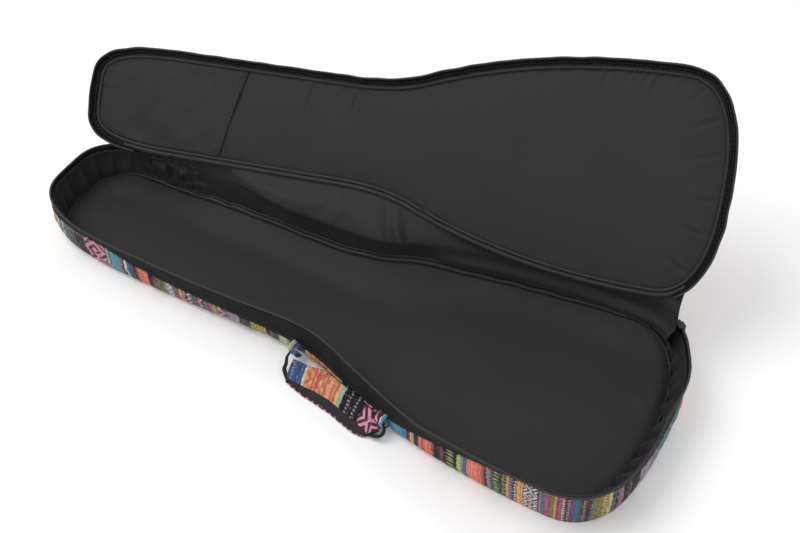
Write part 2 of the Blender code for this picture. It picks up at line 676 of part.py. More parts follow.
def build_anchor(name, station, middle, angle, material):
    """Tab sewn flat to the gusset, with its roll on the handle's axis."""
    along = Vector((math.cos(angle), math.sin(angle)))
    point, normal = station
    tangent = Vector((-normal.y, normal.x))
    rings = []
    for shift in (-ANCHOR_WIDTH / 2, ANCHOR_WIDTH / 2):
        place = (point + tangent * shift, normal)
        away = place[0] - middle.xy
        reach = away.cross(along) / normal.cross(along)
        rings.append([inset_point(place, inset, height)
                      for inset, height in anchor_section(reach)])
    loft(name, rings, material)


def build_handle(stations, materials):
    """Webbing handle with a folded padded grip, and the two tabs that anchor it."""
    middle, angle, span = handle_frame(stations)
    holder = place_empty("handle_holder", middle,
                         Matrix.Rotation(angle, 3, "Z").to_quaternion())
    top = GRIP_HEIGHT / 2 - GRIP_LAYER / 3
    low = top - GRIP_HEIGHT
    mouth_middle = (top + low) / 2 - GRIP_LAYER / 2
    rings = []
    for index in range(GRIP_SLICES):
        share = index / (GRIP_SLICES - 1)
        x = (share - 0.5) * GRIP_LENGTH
        bow = GRIP_CROWN * math.sin(math.pi * share)
        rings.append([Vector((x, -GRIP_START - reach * (1 + bow / GRIP_WIDTH), z))
                      for reach, z in grip_section(top, low, mouth_middle)])
    loft("handle_grip", rings, materials["woven_cloth"], holder)

    reach = GRIP_START + GRIP_LAYER + CLOTH * 2 + HANDLE_WEBBING_WIDTH / 2
    half_span = span / 2
    tip = ANCHOR_ROLL + SEAM_GAP * 3
    path = [(-half_span, tip), (-half_span, HANDLE_TURN), (-half_span + HANDLE_TURN / 2, reach),
            (0.0, reach), (half_span - HANDLE_TURN / 2, reach), (half_span, HANDLE_TURN),
            (half_span, tip)]
    centre_line = smooth_path([Vector((x, -y)) for x, y in path], HANDLE_STEPS)
    level = mouth_middle - HANDLE_WEBBING / 2
    builder = bmesh.new()
    made = []
    for point, normal in path_stations(centre_line):
        fade = min(1.0, (half_span - abs(point.x)) / HANDLE_WEBBING_WIDTH)
        half = (HANDLE_WEBBING_TIP + (HANDLE_WEBBING_WIDTH - HANDLE_WEBBING_TIP) * fade) / 2
        ring = [point - normal * half, point + normal * half]
        corners = [Vector((ring[0].x, ring[0].y, level)), Vector((ring[1].x, ring[1].y, level)),
                   Vector((ring[1].x, ring[1].y, level + HANDLE_WEBBING)),
                   Vector((ring[0].x, ring[0].y, level + HANDLE_WEBBING))]
        made.append([builder.verts.new(corner) for corner in corners])
    bridge_rings(builder, made, closed_run=False)
    builder.faces.new(made[0])
    builder.faces.new(made[-1])
    add_object("handle_webbing", builder, materials["webbing"], holder)

    for name, place in (("head", HANDLE_HEAD_PLACE), ("tail", HANDLE_TAIL_PLACE)):
        station, _ = station_at(stations, place, far_side=False)
        build_anchor("handle_anchor_" + name, station, middle, angle, materials["webbing"])


def smooth_path(points, steps):
    """Points along a smooth curve through the given ones."""
    path = []
    for index in range(len(points) - 1):
        before = points[max(index - 1, 0)]
        first = points[index]
        second = points[index + 1]
        after = points[min(index + 2, len(points) - 1)]
        for step in range(steps):
            t = step / steps
            path.append(0.5 * ((2 * first) + (second - before) * t
                               + (2 * before - 5 * first + 4 * second - after) * t ** 2
                               + (3 * first - before - 3 * second + after) * t ** 3))
    path.append(points[-1])
    return path


def path_stations(path):
    """Stations of (point, normal) along an open path."""
    stations = []
    for index, point in enumerate(path):
        along = path[min(index + 1, len(path) - 1)] - path[max(index - 1, 0)]
        along.normalize()
        stations.append((point, Vector((along.y, -along.x))))
    return stations


def strap_layout(sign):
    """Run of the padded half, middle and angle of the buckle, and foot of one strap."""
    centre = BAG_LENGTH / 2
    pad_points = [Vector((STRAP_TOP_PLACE - centre, sign * STRAP_TOP_OFFSET)),
                  Vector((STRAP_BEND_PLACE - centre, sign * STRAP_BEND_OFFSET)),
                  Vector((STRAP_PAD_END - centre, sign * STRAP_PAD_END_OFFSET))]
    foot = Vector((STRAP_FOOT_PLACE - centre, sign * STRAP_FOOT_OFFSET))
    along = (foot - pad_points[-1]).normalized()
    buckle = pad_points[-1] + along * (BUCKLE_LENGTH / 2 + BUCKLE_BAR)
    return path_stations(smooth_path(pad_points, STRAP_STEPS)), buckle, along, foot


def build_strap(side, sign, materials):
    """Shoulder strap lying flat: padded half, ladder buckle, webbing to the foot."""
    pad_run, buckle, along, foot = strap_layout(sign)
    sweep("strap_pad_" + side, pad_run,
          band(-STRAP_PAD_WIDTH / 2, 0.0, STRAP_THICKNESS, STRAP_PAD_WIDTH), False,
          materials["webbing"])
    turn = Matrix.Rotation(math.atan2(along.y, along.x), 3, "Z")
    buckle_holder = place_empty("strap_buckle_holder_" + side,
                                Vector((buckle.x, buckle.y, STRAP_THICKNESS / 2)),
                                turn.to_quaternion())
    build_buckle("strap_buckle_" + side, buckle_holder, materials["plastic"])
    start = buckle + along * (BUCKLE_LENGTH / 2 + SEAM_GAP)
    sweep("strap_webbing_" + side, path_stations([start, foot]),
          band(-STRAP_WEBBING_WIDTH / 2, 0.0, HANDLE_WEBBING, STRAP_WEBBING_WIDTH), False,
          materials["webbing"])


def yoke_outline(margin=0.0):
    """Outline of the patch that both straps start from, grown by a margin."""
    spread = (STRAP_BEND_OFFSET - STRAP_TOP_OFFSET) / (STRAP_BEND_PLACE - STRAP_TOP_PLACE)
    end = STRAP_TOP_PLACE - BAG_LENGTH / 2 - SEAM_GAP * 2 - abs(spread) * STRAP_PAD_WIDTH / 2
    start = end - YOKE_LENGTH - margin
    half = STRAP_TOP_OFFSET + STRAP_PAD_WIDTH / 2 + margin
    clip = YOKE_LENGTH / 3
    end += margin
    return [(start + clip, -half), (end, -half), (end, half), (start + clip, half),
            (start, half - clip), (start, clip - half)]


def build_yoke(materials):
    """Patch that both shoulder straps are sewn to, under the neck end of the back panel."""
    rings = [[Vector((x, y, z)) for x, y in yoke_outline()] for z in (0.0, STRAP_THICKNESS)]
    loft("strap_yoke", rings, materials["webbing"], smooth=False)


def strap_cutters(material):
    """Cutters for the hollows that the straps press into the padded back panel."""
    deep = STRAP_THICKNESS + SEAM_GAP
    below = -CLOTH
    cutters = []
    for side, sign in (("left", 1), ("right", -1)):
        pad_run, buckle, along, foot = strap_layout(sign)
        half_pad = STRAP_PAD_WIDTH / 2 + STRAP_CLEARANCE
        first = pad_run[0][0] - (pad_run[1][0] - pad_run[0][0]).normalized() * CLOTH
        stretched = [(first, pad_run[0][1])] + pad_run[1:]
        cutters.append(sweep("strap_groove_" + side, stretched,
                             band(-half_pad, below, deep, half_pad * 2), False, material))
        back = buckle - along * (BUCKLE_LENGTH / 2 + BUCKLE_BAR * 2)
        front = buckle + along * (BUCKLE_LENGTH / 2 + STRAP_CLEARANCE)
        half_buckle = BUCKLE_WIDTH / 2 + STRAP_CLEARANCE * 2
        cutters.append(sweep("buckle_groove_" + side, path_stations([back, front]),
                             band(-half_buckle, below, deep, half_buckle * 2), False, material))
        half_webbing = STRAP_WEBBING_WIDTH / 2 + STRAP_CLEARANCE
        webbing_end = foot + along * STRAP_CLEARANCE
        cutters.append(sweep("webbing_groove_" + side, path_stations([buckle, webbing_end]),
                             band(-half_webbing, below, HANDLE_WEBBING + SEAM_GAP,
                                  half_webbing * 2), False, material))
    rings = [[Vector((x, y, z)) for x, y in yoke_outline(STRAP_CLEARANCE)]
             for z in (below, deep)]
    cutters.append(loft("yoke_groove", rings, material, smooth=False))
    for cutter in cutters:
        cutter.hide_render = True
        cutter.display_type = "WIRE"
    return cutters


def build_buckle(name, holder, material):
    """Ladder buckle: a frame with two slots."""
    half_length = BUCKLE_LENGTH / 2
    half_width = BUCKLE_WIDTH / 2
    half_thickness = STRAP_THICKNESS / 2
    builder = bmesh.new()
    xs = [-half_length, -half_length + BUCKLE_BAR, -BUCKLE_BAR / 2, BUCKLE_BAR / 2,
          half_length - BUCKLE_BAR, half_length]
    ys = [-half_width, -half_width + BUCKLE_BAR, half_width - BUCKLE_BAR, half_width]
    grid = {(i, j, k): builder.verts.new((xs[i], ys[j], z))
            for i in range(len(xs)) for j in range(len(ys))
            for k, z in enumerate((-half_thickness, half_thickness))}
    slots = {(1, 1), (3, 1)}
    cells = {(i, j) for i in range(len(xs) - 1) for j in range(len(ys) - 1)} - slots
    for i, j in cells:
        for k in (0, 1):
            builder.faces.new((grid[i, j, k], grid[i + 1, j, k],
                               grid[i + 1, j + 1, k], grid[i, j + 1, k]))
        for (di, dj), (a, b) in (((-1, 0), ((0, 0), (0, 1))), ((1, 0), ((1, 0), (1, 1))),
                                 ((0, -1), ((0, 0), (1, 0))), ((0, 1), ((0, 1), (1, 1)))):
            if (i + di, j + dj) not in cells:
                first = (i + a[0], j + a[1])
                second = (i + b[0], j + b[1])
                builder.faces.new((grid[(*first, 0)], grid[(*second, 0)],
                                   grid[(*second, 1)], grid[(*first, 1)]))
    add_object(name, builder, material, holder, smooth=False)


def make_materials():
    """Plain materials of the bag, by what they are."""
    return {
        "woven_cloth": fabric("woven_cloth", (0.42, 0.16, 0.10), 0.85),
        "black_lining": fabric("black_lining", (0.035, 0.035, 0.036), 0.6),
        "foam": fabric("foam", (0.55, 0.55, 0.52), 0.95),
        "binding": fabric("binding", (0.05, 0.05, 0.05), 0.7),
        "zip_tape": fabric("zip_tape", (0.016, 0.017, 0.016), 0.8),
        "zip_chain": fabric("zip_chain", (0.02, 0.02, 0.02), 0.4),
        "patch": fabric("patch", (0.045, 0.045, 0.045), 0.75),
        "webbing": fabric("webbing", (0.02, 0.02, 0.02), 0.8),
        "plastic": fabric("plastic", (0.02, 0.02, 0.02), 0.45),
        "metal": fabric("metal", (0.18, 0.18, 0.18), 0.35, 0.9),
    }


def main():
    """Clears the scene and builds the open bag."""
    for item in list(bpy.data.objects):
        bpy.data.objects.remove(item, do_unlink=True)
    materials = make_materials()
    stations = bag_stations()
    axis_point, angle = hinge_line(stations)
    opened = Matrix.Rotation(math.radians(-LID_OPEN_DEG), 3,
                             Vector((math.cos(angle), math.sin(angle), 0.0)))
    build_tray(stations, materials)
    build_hinge_web(stations, axis_point, opened, materials)
    lid_holder = place_empty("lid_holder", axis_point, opened.to_quaternion())
    build_lid(stations, axis_point, angle, lid_holder, materials)
    build_patch(stations, axis_point, lid_holder, materials)
    pocket_zip_start = build_pocket(stations, axis_point, lid_holder, materials)
    build_pocket_slider(pocket_zip_start, axis_point, lid_holder, materials)
    build_rim_slider(stations, "head", HINGE_HEAD_PLACE, True, materials)
    build_rim_slider(stations, "tail", HINGE_TAIL_PLACE, False, materials)
    build_handle(stations, materials)
    build_yoke(materials)
    for side, sign in (("left", 1), ("right", -1)):
        build_strap(side, sign, materials)
    bpy.context.view_layer.update()
    print("hinge line at y", round(axis_point.y, 5), "angle", round(math.degrees(angle), 3))


main()
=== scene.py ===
"""Dressed model of a padded ukulele gig bag that lies open on its back.

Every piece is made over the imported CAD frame, in metres, with +X from the head to the tail,
+Y to the hinge side and +Z up. Lid pieces are drawn closed and then turned open about the hinge.
"""

import json
import math

import bmesh
import bpy
import numpy as np
from mathutils import Matrix, Vector


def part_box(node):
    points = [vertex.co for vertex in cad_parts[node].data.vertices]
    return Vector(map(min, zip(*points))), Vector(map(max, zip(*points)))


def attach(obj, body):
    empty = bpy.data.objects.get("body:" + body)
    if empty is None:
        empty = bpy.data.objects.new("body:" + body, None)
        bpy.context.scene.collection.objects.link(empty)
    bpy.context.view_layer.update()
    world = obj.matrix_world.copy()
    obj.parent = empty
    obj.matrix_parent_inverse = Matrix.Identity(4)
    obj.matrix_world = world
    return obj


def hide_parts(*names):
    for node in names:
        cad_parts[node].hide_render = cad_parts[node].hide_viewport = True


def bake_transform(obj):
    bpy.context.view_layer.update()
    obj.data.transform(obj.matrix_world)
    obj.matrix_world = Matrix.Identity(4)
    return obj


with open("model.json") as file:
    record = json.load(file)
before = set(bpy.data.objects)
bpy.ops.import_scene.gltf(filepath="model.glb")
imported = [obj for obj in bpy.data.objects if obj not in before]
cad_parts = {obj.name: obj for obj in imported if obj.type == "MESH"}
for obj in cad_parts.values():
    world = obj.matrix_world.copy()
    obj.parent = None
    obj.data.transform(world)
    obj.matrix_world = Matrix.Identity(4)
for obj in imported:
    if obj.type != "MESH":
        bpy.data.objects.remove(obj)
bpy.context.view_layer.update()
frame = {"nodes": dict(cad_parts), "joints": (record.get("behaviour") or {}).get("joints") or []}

bl_info = {
    "name": "Ukulele gig bag",
    "version": (1, 0, 0),
    "blender": (4, 5, 0),
    "location": "View3D > Sidebar > Gig bag",
    "description": "Dresses the CAD frame of an open ukulele gig bag with cloth, padding and seams",
    "category": "Add Mesh",
}

# Outline of the bag, as in the CAD source
BAG_LENGTH = 0.660
NECK_HALF_WIDTH = 0.0605
BOUT_HALF_WIDTH = 0.1116
HEAD_ROUND_LENGTH = 0.124
HEAD_ROUNDNESS = 3.5
FLARE_START = 0.273
SHOULDER_PLACE = 0.358
SHOULDER_HALF_WIDTH = 0.0713
SHOULDER_SLOPE = 0.38
TAIL_ROUND_LENGTH = 0.068
TAIL_ROUNDNESS = 2.5
BOUT_PLACE = BAG_LENGTH - TAIL_ROUND_LENGTH

# Heights and insets of the frame that the cloth hangs on
CLOTH_BOTTOM = 0.0018
PANEL_INSIDE = 0.0049
FLOOR_UNDERSIDE = 0.0052
FLOOR_TOP = 0.0159
INNER_INSET = 0.0094
RIM_HEIGHT = 0.0528
HINGE_GUSSET_TOP = 0.0605
LINING_CLOSED = 0.0743
LID_BACK = 0.0812
LID_TOP = 0.0834
LID_EDGE_INSET = 0.0100
LID_SEAM_INSET = 0.0150
HINGE_HEAD_PLACE = 0.060
HINGE_TAIL_PLACE = 0.626
LID_OPEN_DEG = 131.0

# Ends of the line along the bag's middle on which the rows of a panel meet, and their weld
SPINE_START = -BAG_LENGTH / 2 + 0.060
SPINE_END = BAG_LENGTH / 2 - 0.105
SPINE_WELD = 0.00025

# Shoulder straps, as in the CAD source: (place, offset) from the head end and the middle
STRAP_PAD = ((0.150, 0.019), (0.300, 0.030), (0.430, 0.062))
STRAP_FOOT = (0.615, 0.078)
STRAP_PAD_WIDTH = 0.030
STRAP_WEBBING_WIDTH = 0.020
STRAP_DEPTH = 0.0032
WEBBING_START = 0.0298
YOKE_LINE = ((-0.214, 0.0), (-0.186, 0.0))

# Sections of the strap's padded half and of its webbing: share of the half width, and height
PAD_SECTION = (
    (-1.0, 0.0014), (-0.96, 0.0006), (-0.86, 0.0003), (-0.4, 0.0003), (0.4, 0.0003),
    (0.86, 0.0003), (0.96, 0.0006), (1.0, 0.0014), (0.95, 0.0027), (0.5, 0.0030),
    (-0.5, 0.0030), (-0.95, 0.0027),
)
WEBBING_SECTION = (
    (-1.0, 0.0008), (-0.96, 0.0004), (0.96, 0.0004), (1.0, 0.0008), (1.0, 0.0012),
    (0.96, 0.0016), (-0.96, 0.0016), (-1.0, 0.0012),
)

# Section of the lid's standing rim on the closed lid: inset and height
RIM_SECTION = (
    (0.0064, 0.0686), (0.0062, 0.0712), (0.0066, 0.0742), (0.0076, 0.0774), (0.0090, 0.0800),
    (0.0100, 0.0814), (0.0124, 0.0812), (0.0130, 0.0780), (0.0132, 0.0750), (0.0118, 0.0741),
    (0.0102, 0.0732), (0.0086, 0.0716), (0.0076, 0.0698), (0.0074, 0.0686),
)

# Patch under the headstock: its middle length and how far its end slants each way
PATCH_END = 0.167
PATCH_SLANT = 0.010
PATCH_INSET = LID_SEAM_INSET + 0.0022

# Pocket on the lid: where it starts, its inset, and half the length and section of its zip
POCKET_START = 0.348
POCKET_INSET = 0.018
POCKET_ZIP_X = POCKET_START - BAG_LENGTH / 2 - 0.0113
POCKET_ZIP_HALF = 0.048
POCKET_TAPE_SECTION = (
    (-0.0110, 0.0), (0.0110, 0.0), (0.0110, 0.0009), (0.0070, 0.0012), (0.0, 0.0009),
    (-0.0070, 0.0012), (-0.0110, 0.0009),
)

# Camera, fitted to the photograph
CAMERA_AZIMUTH_DEG = 30.83
CAMERA_ELEVATION_DEG = 47.10
CAMERA_ROLL_DEG = -1.55
CAMERA_DISTANCE = 1.3268
CAMERA_TARGET = (0.0163, 0.0839, 0.0)
CAMERA_FOCAL_PIXELS = 1324.6
IMAGE_WIDTH = 800.0

# Lamps: name, place, size and power
LAMPS = (
    ("key_light", (-0.9, -0.5, 1.9), 1.8, 24.0),
    ("fill_light", (1.4, -1.2, 1.3), 1.6, 8.0),
    ("back_light", (0.3, 1.6, 1.5), 1.6, 8.0),
)
LAMP_TARGET = (0.0, 0.08, 0.0)

# Strength of the world's light on the bag; rays that see the world find it white
WORLD_STRENGTH = 0.60
WHITE = (1.0, 1.0, 1.0)

# Woven cloth, in millimetres: width of a yarn, length of its dashes, how far a dash is shifted
# across the stripes, width of a pin line, spacing of its dots and of the threads down the cloth
YARN_PITCH = 1.1
DASH_LENGTH = 1.7
YARN_SCATTER = 1.3
PIN_WIDTH = 2.2
PIN_DOT_PITCH = 3.2
THREAD_PITCH = 0.9

# Stripes that one colour ramp holds, of at most 32 stops
RAMP_STOPS = 30

# Columns of the meshes that follow the whole outline
EDGE_COLUMNS = 1200

# The side wall's shape along the near side, by millimetres from the middle of the head end:
# inset of the base, height and reach of the cloth's top seam, height and reach of the rim
WALL_SHAPE = (
    (0, 7.0, 34.0, -2.0, 52.8, -4.0),
    (40, 7.0, 36.0, -1.5, 52.0, -3.0),
    (70, 5.5, 37.5, 0.0, 50.0, 0.5),
    (100, 4.0, 37.5, 0.5, 48.0, 4.0),
    (130, 2.5, 35.5, 1.5, 47.5, 5.5),
    (160, 2.0, 30.0, 3.0, 47.5, 6.5),
    (200, 1.5, 24.5, 3.0, 47.5, 7.0),
    (240, 3.0, 22.5, 3.0, 47.5, 7.0),
    (290, 6.0, 21.0, 2.5, 48.0, 6.0),
    (330, 6.5, 18.5, 1.0, 49.0, 4.0),
    (380, 7.0, 15.5, 0.2, 51.5, 1.5),
    (410, 7.0, 15.5, 0.2, 53.5, 0.8),
    (450, 6.0, 16.0, 0.4, 51.0, 2.0),
    (490, 2.5, 18.5, 1.5, 49.0, 5.0),
    (520, 2.0, 26.0, 2.0, 49.5, 8.0),
    (560, 2.5, 33.5, 1.5, 52.5, 8.5),
    (600, 2.5, 39.0, 1.0, 55.0, 10.0),
    (640, 2.5, 43.0, 0.5, 56.5, 11.5),
    (675, 1.5, 42.5, 0.5, 56.0, 11.5),
    (705, 1.0, 36.5, 1.0, 55.0, 8.0),
    (735, 2.5, 33.5, 0.5, 53.5, 4.0),
    (784, 5.0, 33.0, 0.0, 52.8, 0.0),
)

# How the side cloth curves: power of its reach and of its height, and its bulge in metres
WALL_CURVE = 2.4
WALL_RISE = 1.1
WALL_BULGE = 0.0006

# The table's five values along the far side, in metres
CALM_WALL = (0.004, 0.033, 0.0, RIM_HEIGHT, 0.0)

# Rise of the floor's far edge, which rides up the wall, as (place, rise) in millimetres
FAR_EDGE_RISE = (
    (20, 0), (45, 14), (75, 10), (110, 10), (150, 15), (200, 18), (300, 20), (345, 24),
    (385, 26), (425, 19), (500, 18), (550, 22), (600, 26), (632, 12), (645, 0),
)
FAR_EDGE_REACH = 0.020

# Creases of the lid's lining, in millimetres on the closed lid: where each starts and ends, as
# (place, offset), its half width and its depth
LID_CREASES = (
    ((249, -47), (240, -6), 2.2, 1.5), ((255, -47), (252, -34), 1.6, 0.9),
    ((279, -47), (276, -31), 1.8, 1.0), ((297, -48), (286, -9), 2.3, 1.4),
    ((529, -94), (519, -70), 2.2, 0.9), ((549, -97), (541, -78), 1.8, 1.0),
    ((565, -97), (557, -76), 1.8, 1.3), ((575, -96), (563, -68), 1.8, 1.2),
    ((596, -93), (583, -74), 1.8, 1.1), ((612, -84), (598, -70), 2.0, 1.0),
    ((628, -60), (606, -50), 2.2, 1.0), ((634, -30), (612, -24), 2.2, 0.9),
    ((636, 10), (614, 10), 2.2, 1.0), ((632, 40), (610, 36), 2.2, 1.1),
    ((620, 74), (600, 62), 2.2, 1.0), ((18, -8), (38, -6), 2.2, 0.8),
    ((24, -32), (44, -24), 2.0, 0.9), ((70, -44), (80, -28), 2.0, 0.9),
)

# The handle's flap, by share of its length: along the handle, outward from the wall and height of
# its fold, the same of its free edge, in millimetres
FLAP_SHAPE = (
    (0.0, -53.2, 12.6, 13.6, -46.0, 29.5, 2.6),
    (0.2, -34.0, 8.0, 14.5, -24.5, 26.5, 3.2),
    (0.3, -22.0, 3.8, 17.6, -14.5, 24.0, 4.0),
    (0.5, 0.0, 3.2, 18.2, 5.5, 21.0, 4.6),
    (0.8, 36.0, 3.2, 18.0, 38.5, 22.5, 3.4),
    (0.92, 52.0, 5.6, 15.5, 48.0, 21.5, 3.0),
    (1.0, 61.0, 10.5, 11.5, 52.5, 20.5, 2.6),
)

# How far the flap's lower layer opens, where its cloth starts in the stripes and how much it
# takes, its cloth's thickness, the gap to the wall, and half the distance between the two tabs
FLAP_MOUTH = 0.0046
FLAP_CLOTH = (0.348, 0.118)
FLAP_THICKNESS = 0.0020
WALL_GAP = 0.0076
TAB_OFFSET = 0.05818

# Stripes of the woven cloth, as (where each one ends in millimetres, colour)
STRIPES = (
    (30, "teal"), (50, "salmon"), (58, "gold"), (66, "sand"), (71, "slate"), (73, "mist"),
    (82, "slate"), (104, "navy"), (133, "maroon"), (135, "cream"), (151, "turquoise"),
    (156, "maroon"), (159, "cream"), (167, "blue"), (170, "ink"), (185, "coral"),
    (191, "navy"), (195, "plum"), (204, "olive"), (207, "sage"), (213, "mist"),
    (218, "purple"), (221, "ink"), (228, "salmon"), (230, "ink"), (236, "plum"),
    (242, "slate"), (250, "maroon"), (252, "navy"), (255, "blue"), (260, "magenta"),
    (264, "lime"), (266, "forest"), (277, "maroon"), (290, "lavender"), (294, "forest"),
    (300, "maroon"), (304, "forest"), (320, "yellow"), (321, "cream"), (328, "navy"),
    (335, "olive"), (345, "sage"), (348, "cream"), (367, "denim"), (369, "cream"),
    (400, "amber"), (404, "coral"), (407, "gold"), (409, "red"), (412, "amber"),
    (418, "sage"), (442, "navy"), (466, "maroon"), (468, "cream"), (501, "turquoise"),
    (506, "maroon"), (510, "sand"), (515, "navy"), (532, "coral"), (537, "ink"),
    (542, "plum"), (556, "ink"), (560, "lime"), (566, "blue"), (583, "coral"),
    (586, "ink"), (590, "mauve"), (601, "forest"), (607, "sand"), (612, "maroon"),
    (615, "navy"), (621, "amber"), (635, "maroon"), (637, "plum"), (641, "blue"),
    (645, "magenta"), (648, "lime"), (651, "gold"), (655, "magenta"), (659, "plum"),
    (661, "ink"), (665, "purple"), (670, "blue"), (673, "forest"), (680, "maroon"),
    (682, "teal"), (698, "yellow"), (700, "sage"), (706, "navy"), (712, "mauve"),
    (735, "ink"), (750, "lavender"), (765, "mauve"), (790, "teal"),
)

DYES = {
    "teal": (60, 120, 135), "salmon": (205, 115, 100), "gold": (196, 132, 66),
    "sand": (190, 165, 120), "slate": (75, 105, 112), "mist": (200, 205, 200),
    "navy": (26, 28, 46), "maroon": (84, 30, 56), "cream": (226, 212, 184),
    "turquoise": (24, 132, 168), "blue": (54, 98, 130), "ink": (20, 20, 24),
    "coral": (226, 84, 58), "plum": (128, 44, 84), "olive": (104, 98, 58),
    "sage": (160, 184, 144), "purple": (110, 66, 110), "magenta": (190, 48, 118),
    "lime": (172, 178, 74), "forest": (56, 70, 48), "lavender": (150, 140, 165),
    "yellow": (206, 178, 82), "denim": (42, 78, 140), "amber": (222, 146, 68),
    "red": (206, 52, 46), "mauve": (148, 110, 135), "pink": (228, 142, 178),
    "white": (232, 224, 226),
}

# Woven figures, as (kind, middle and width across the stripes, period down the cloth, dye),
# all lengths in millimetres
FIGURES = (
    ("diamond", 118.5, 27.0, 26.0, "pink"), ("diamond", 454.0, 22.0, 24.0, "pink"),
    ("diamond", 628.0, 13.0, 14.0, "white"), ("zigzag", 210.0, 6.0, 7.0, "purple"),
    ("zigzag", 233.0, 6.0, 7.0, "white"), ("zigzag", 246.0, 7.0, 9.0, "pink"),
    ("zigzag", 271.5, 10.0, 11.0, "pink"), ("diamond", 384.5, 28.0, 26.0, "red"),
    ("diamond", 312.0, 14.0, 9.0, "olive"), ("diamond", 690.0, 14.0, 9.0, "olive"),
    ("dots", 604.0, 4.0, 4.0, "ink"), ("dots", 613.5, 2.4, 4.0, "white"),
    ("dots", 657.0, 3.0, 4.0, "white"), ("dots", 178.0, 9.0, 6.0, "gold"),
    ("dots", 58.0, 9.0, 5.0, "coral"), ("dots", 549.0, 9.0, 5.0, "lime"),
    ("dots", 595.0, 7.0, 5.0, "sage"),
)

# Plain cloths by finish: their colour setting, threads per metre, roughness, sheen, mottling,
# depth of the weave and specular level
CLOTHS = {
    "bag_lining": ("lining", 2600, 0.60, 0.04, 0.06, 0.16, 0.15),
    "bag_patch": ("patch", 900, 0.66, 0.04, 0.24, 0.7, 0.15),
    "bag_tape": ("tape", 1500, 0.75, 0.01, 0.22, 0.4, 0.12),
    "bag_piping": ("piping", 1900, 0.52, 0.04, 0.15, 0.3, 0.28),
    "bag_webbing": ("webbing", 1100, 0.75, 0.04, 0.30, 0.6, 0.15),
    "bag_thread": ("thread", 3000, 0.60, 0.10, 0.20, 0.2, 0.4),
    "bag_cream_thread": ("cream_thread", 3000, 0.60, 0.10, 0.15, 0.2, 0.4),
}

# Moulded plastics by finish: colour and roughness
PLASTICS = {
    "bag_coil": ((0.006, 0.006, 0.006), 0.55),
    "bag_plastic": ((0.018, 0.018, 0.018), 0.42),
}

# CAD nodes that are shown as they are, by finish
HARDWARE = {
    "bag_metal": ("zip_slider_head", "zip_slider_tail", "pull_tab_head", "pull_tab_tail",
                  "pocket_zip_slider", "pocket_pull_tab"),
    "bag_plastic": ("strap_buckle_left", "strap_buckle_right"),
}


def length_setting(name, description, default, low, high):
    """Length in a group of settings."""
    return bpy.props.FloatProperty(name=name, description=description, default=default,
                                   min=low, max=high, unit="LENGTH")


def colour_setting(name, description, default):
    """Colour in a group of settings."""
    return bpy.props.FloatVectorProperty(name=name, description=description, default=default,
                                         subtype="COLOR", size=3, min=0.0, max=1.0)


class GigBagSizes(bpy.types.PropertyGroup):
    """Sizes of the cloth, padding and seams."""

    floor_crown: length_setting(
        "Floor crown", "How far the floor's padding swells between its seams", 0.0022, 0.0, 0.006)
    lid_crown: length_setting(
        "Lid crown", "How far the lid's padding swells between its seams", 0.0030, 0.0, 0.006)
    pucker: length_setting(
        "Pucker", "Height of the puckers along sewn edges", 0.0005, 0.0, 0.002)
    piping_radius: length_setting(
        "Piping radius", "Radius of the piping round the linings", 0.0019, 0.001, 0.003)
    coil_pitch: length_setting(
        "Coil pitch", "Distance between turns of the zip's coil", 0.0017, 0.001, 0.004)
    stitch_length: length_setting("Stitch length", "Length of one stitch", 0.0030, 0.001, 0.008)
    stitch_gap: length_setting("Stitch gap", "Gap between stitches", 0.0012, 0.0005, 0.005)
    thread_radius: length_setting(
        "Thread radius", "Radius of the sewing thread", 0.00028, 0.0001, 0.001)


class GigBagColours(bpy.types.PropertyGroup):
    """Colours of the plain cloths, the thread and the stage."""

    lining: colour_setting("Lining", "Colour of the nylon lining", (0.0205, 0.0205, 0.0222))
    patch: colour_setting(
        "Patch", "Colour of the patch under the headstock", (0.022, 0.022, 0.022))
    tape: colour_setting("Zip tape", "Colour of the zip tape", (0.0042, 0.0042, 0.0042))
    piping: colour_setting("Piping", "Colour of the piping", (0.011, 0.011, 0.0115))
    webbing: colour_setting(
        "Webbing", "Colour of the straps and of bound edges", (0.016, 0.016, 0.017))
    thread: colour_setting("Thread", "Colour of the sewing thread", (0.050, 0.050, 0.048))
    cream_thread: colour_setting(
        "Cream thread", "Colour of the thread along the cloth's top seam", (0.62, 0.56, 0.44))
    metal: colour_setting(
        "Metal", "Colour of the zip sliders and pull tabs", (0.034, 0.034, 0.036))
    floor: colour_setting(
        "Floor", "Colour of the floor and the backdrop", (0.92, 0.92, 0.92))


def sampled(places, steps, values, period=None):
    """Columns of values at places, where each row of values stands at its step."""
    return np.stack([np.interp(places, steps, column, period=period) for column in values.T],
                    axis=-1)


def unit(vectors):
    """Vectors turned to length one."""
    return vectors / np.linalg.norm(vectors, axis=-1, keepdims=True)


def path_steps(path):
    """Distances along a path of points."""
    return np.concatenate([[0.0], np.cumsum(np.linalg.norm(np.diff(path, axis=0), axis=1))])


def lifted(flat, height):
    """Flat points or directions with a height, which is one value or one for each."""
    tall = np.broadcast_to(height, flat.shape[:-1])
    return np.concatenate([flat, tall[..., None]], axis=-1)


def cubic(place, start, start_width, start_slope, end, end_width, end_slope):
    """Half width at places between two stations, as a cubic that keeps both slopes."""
    span = end - start
    t = (place - start) / span
    return ((2 * t ** 3 - 3 * t ** 2 + 1) * start_width
            + (t ** 3 - 2 * t ** 2 + t) * span * start_slope
            + (3 * t ** 2 - 2 * t ** 3) * end_width
            + (t ** 3 - t ** 2) * span * end_slope)


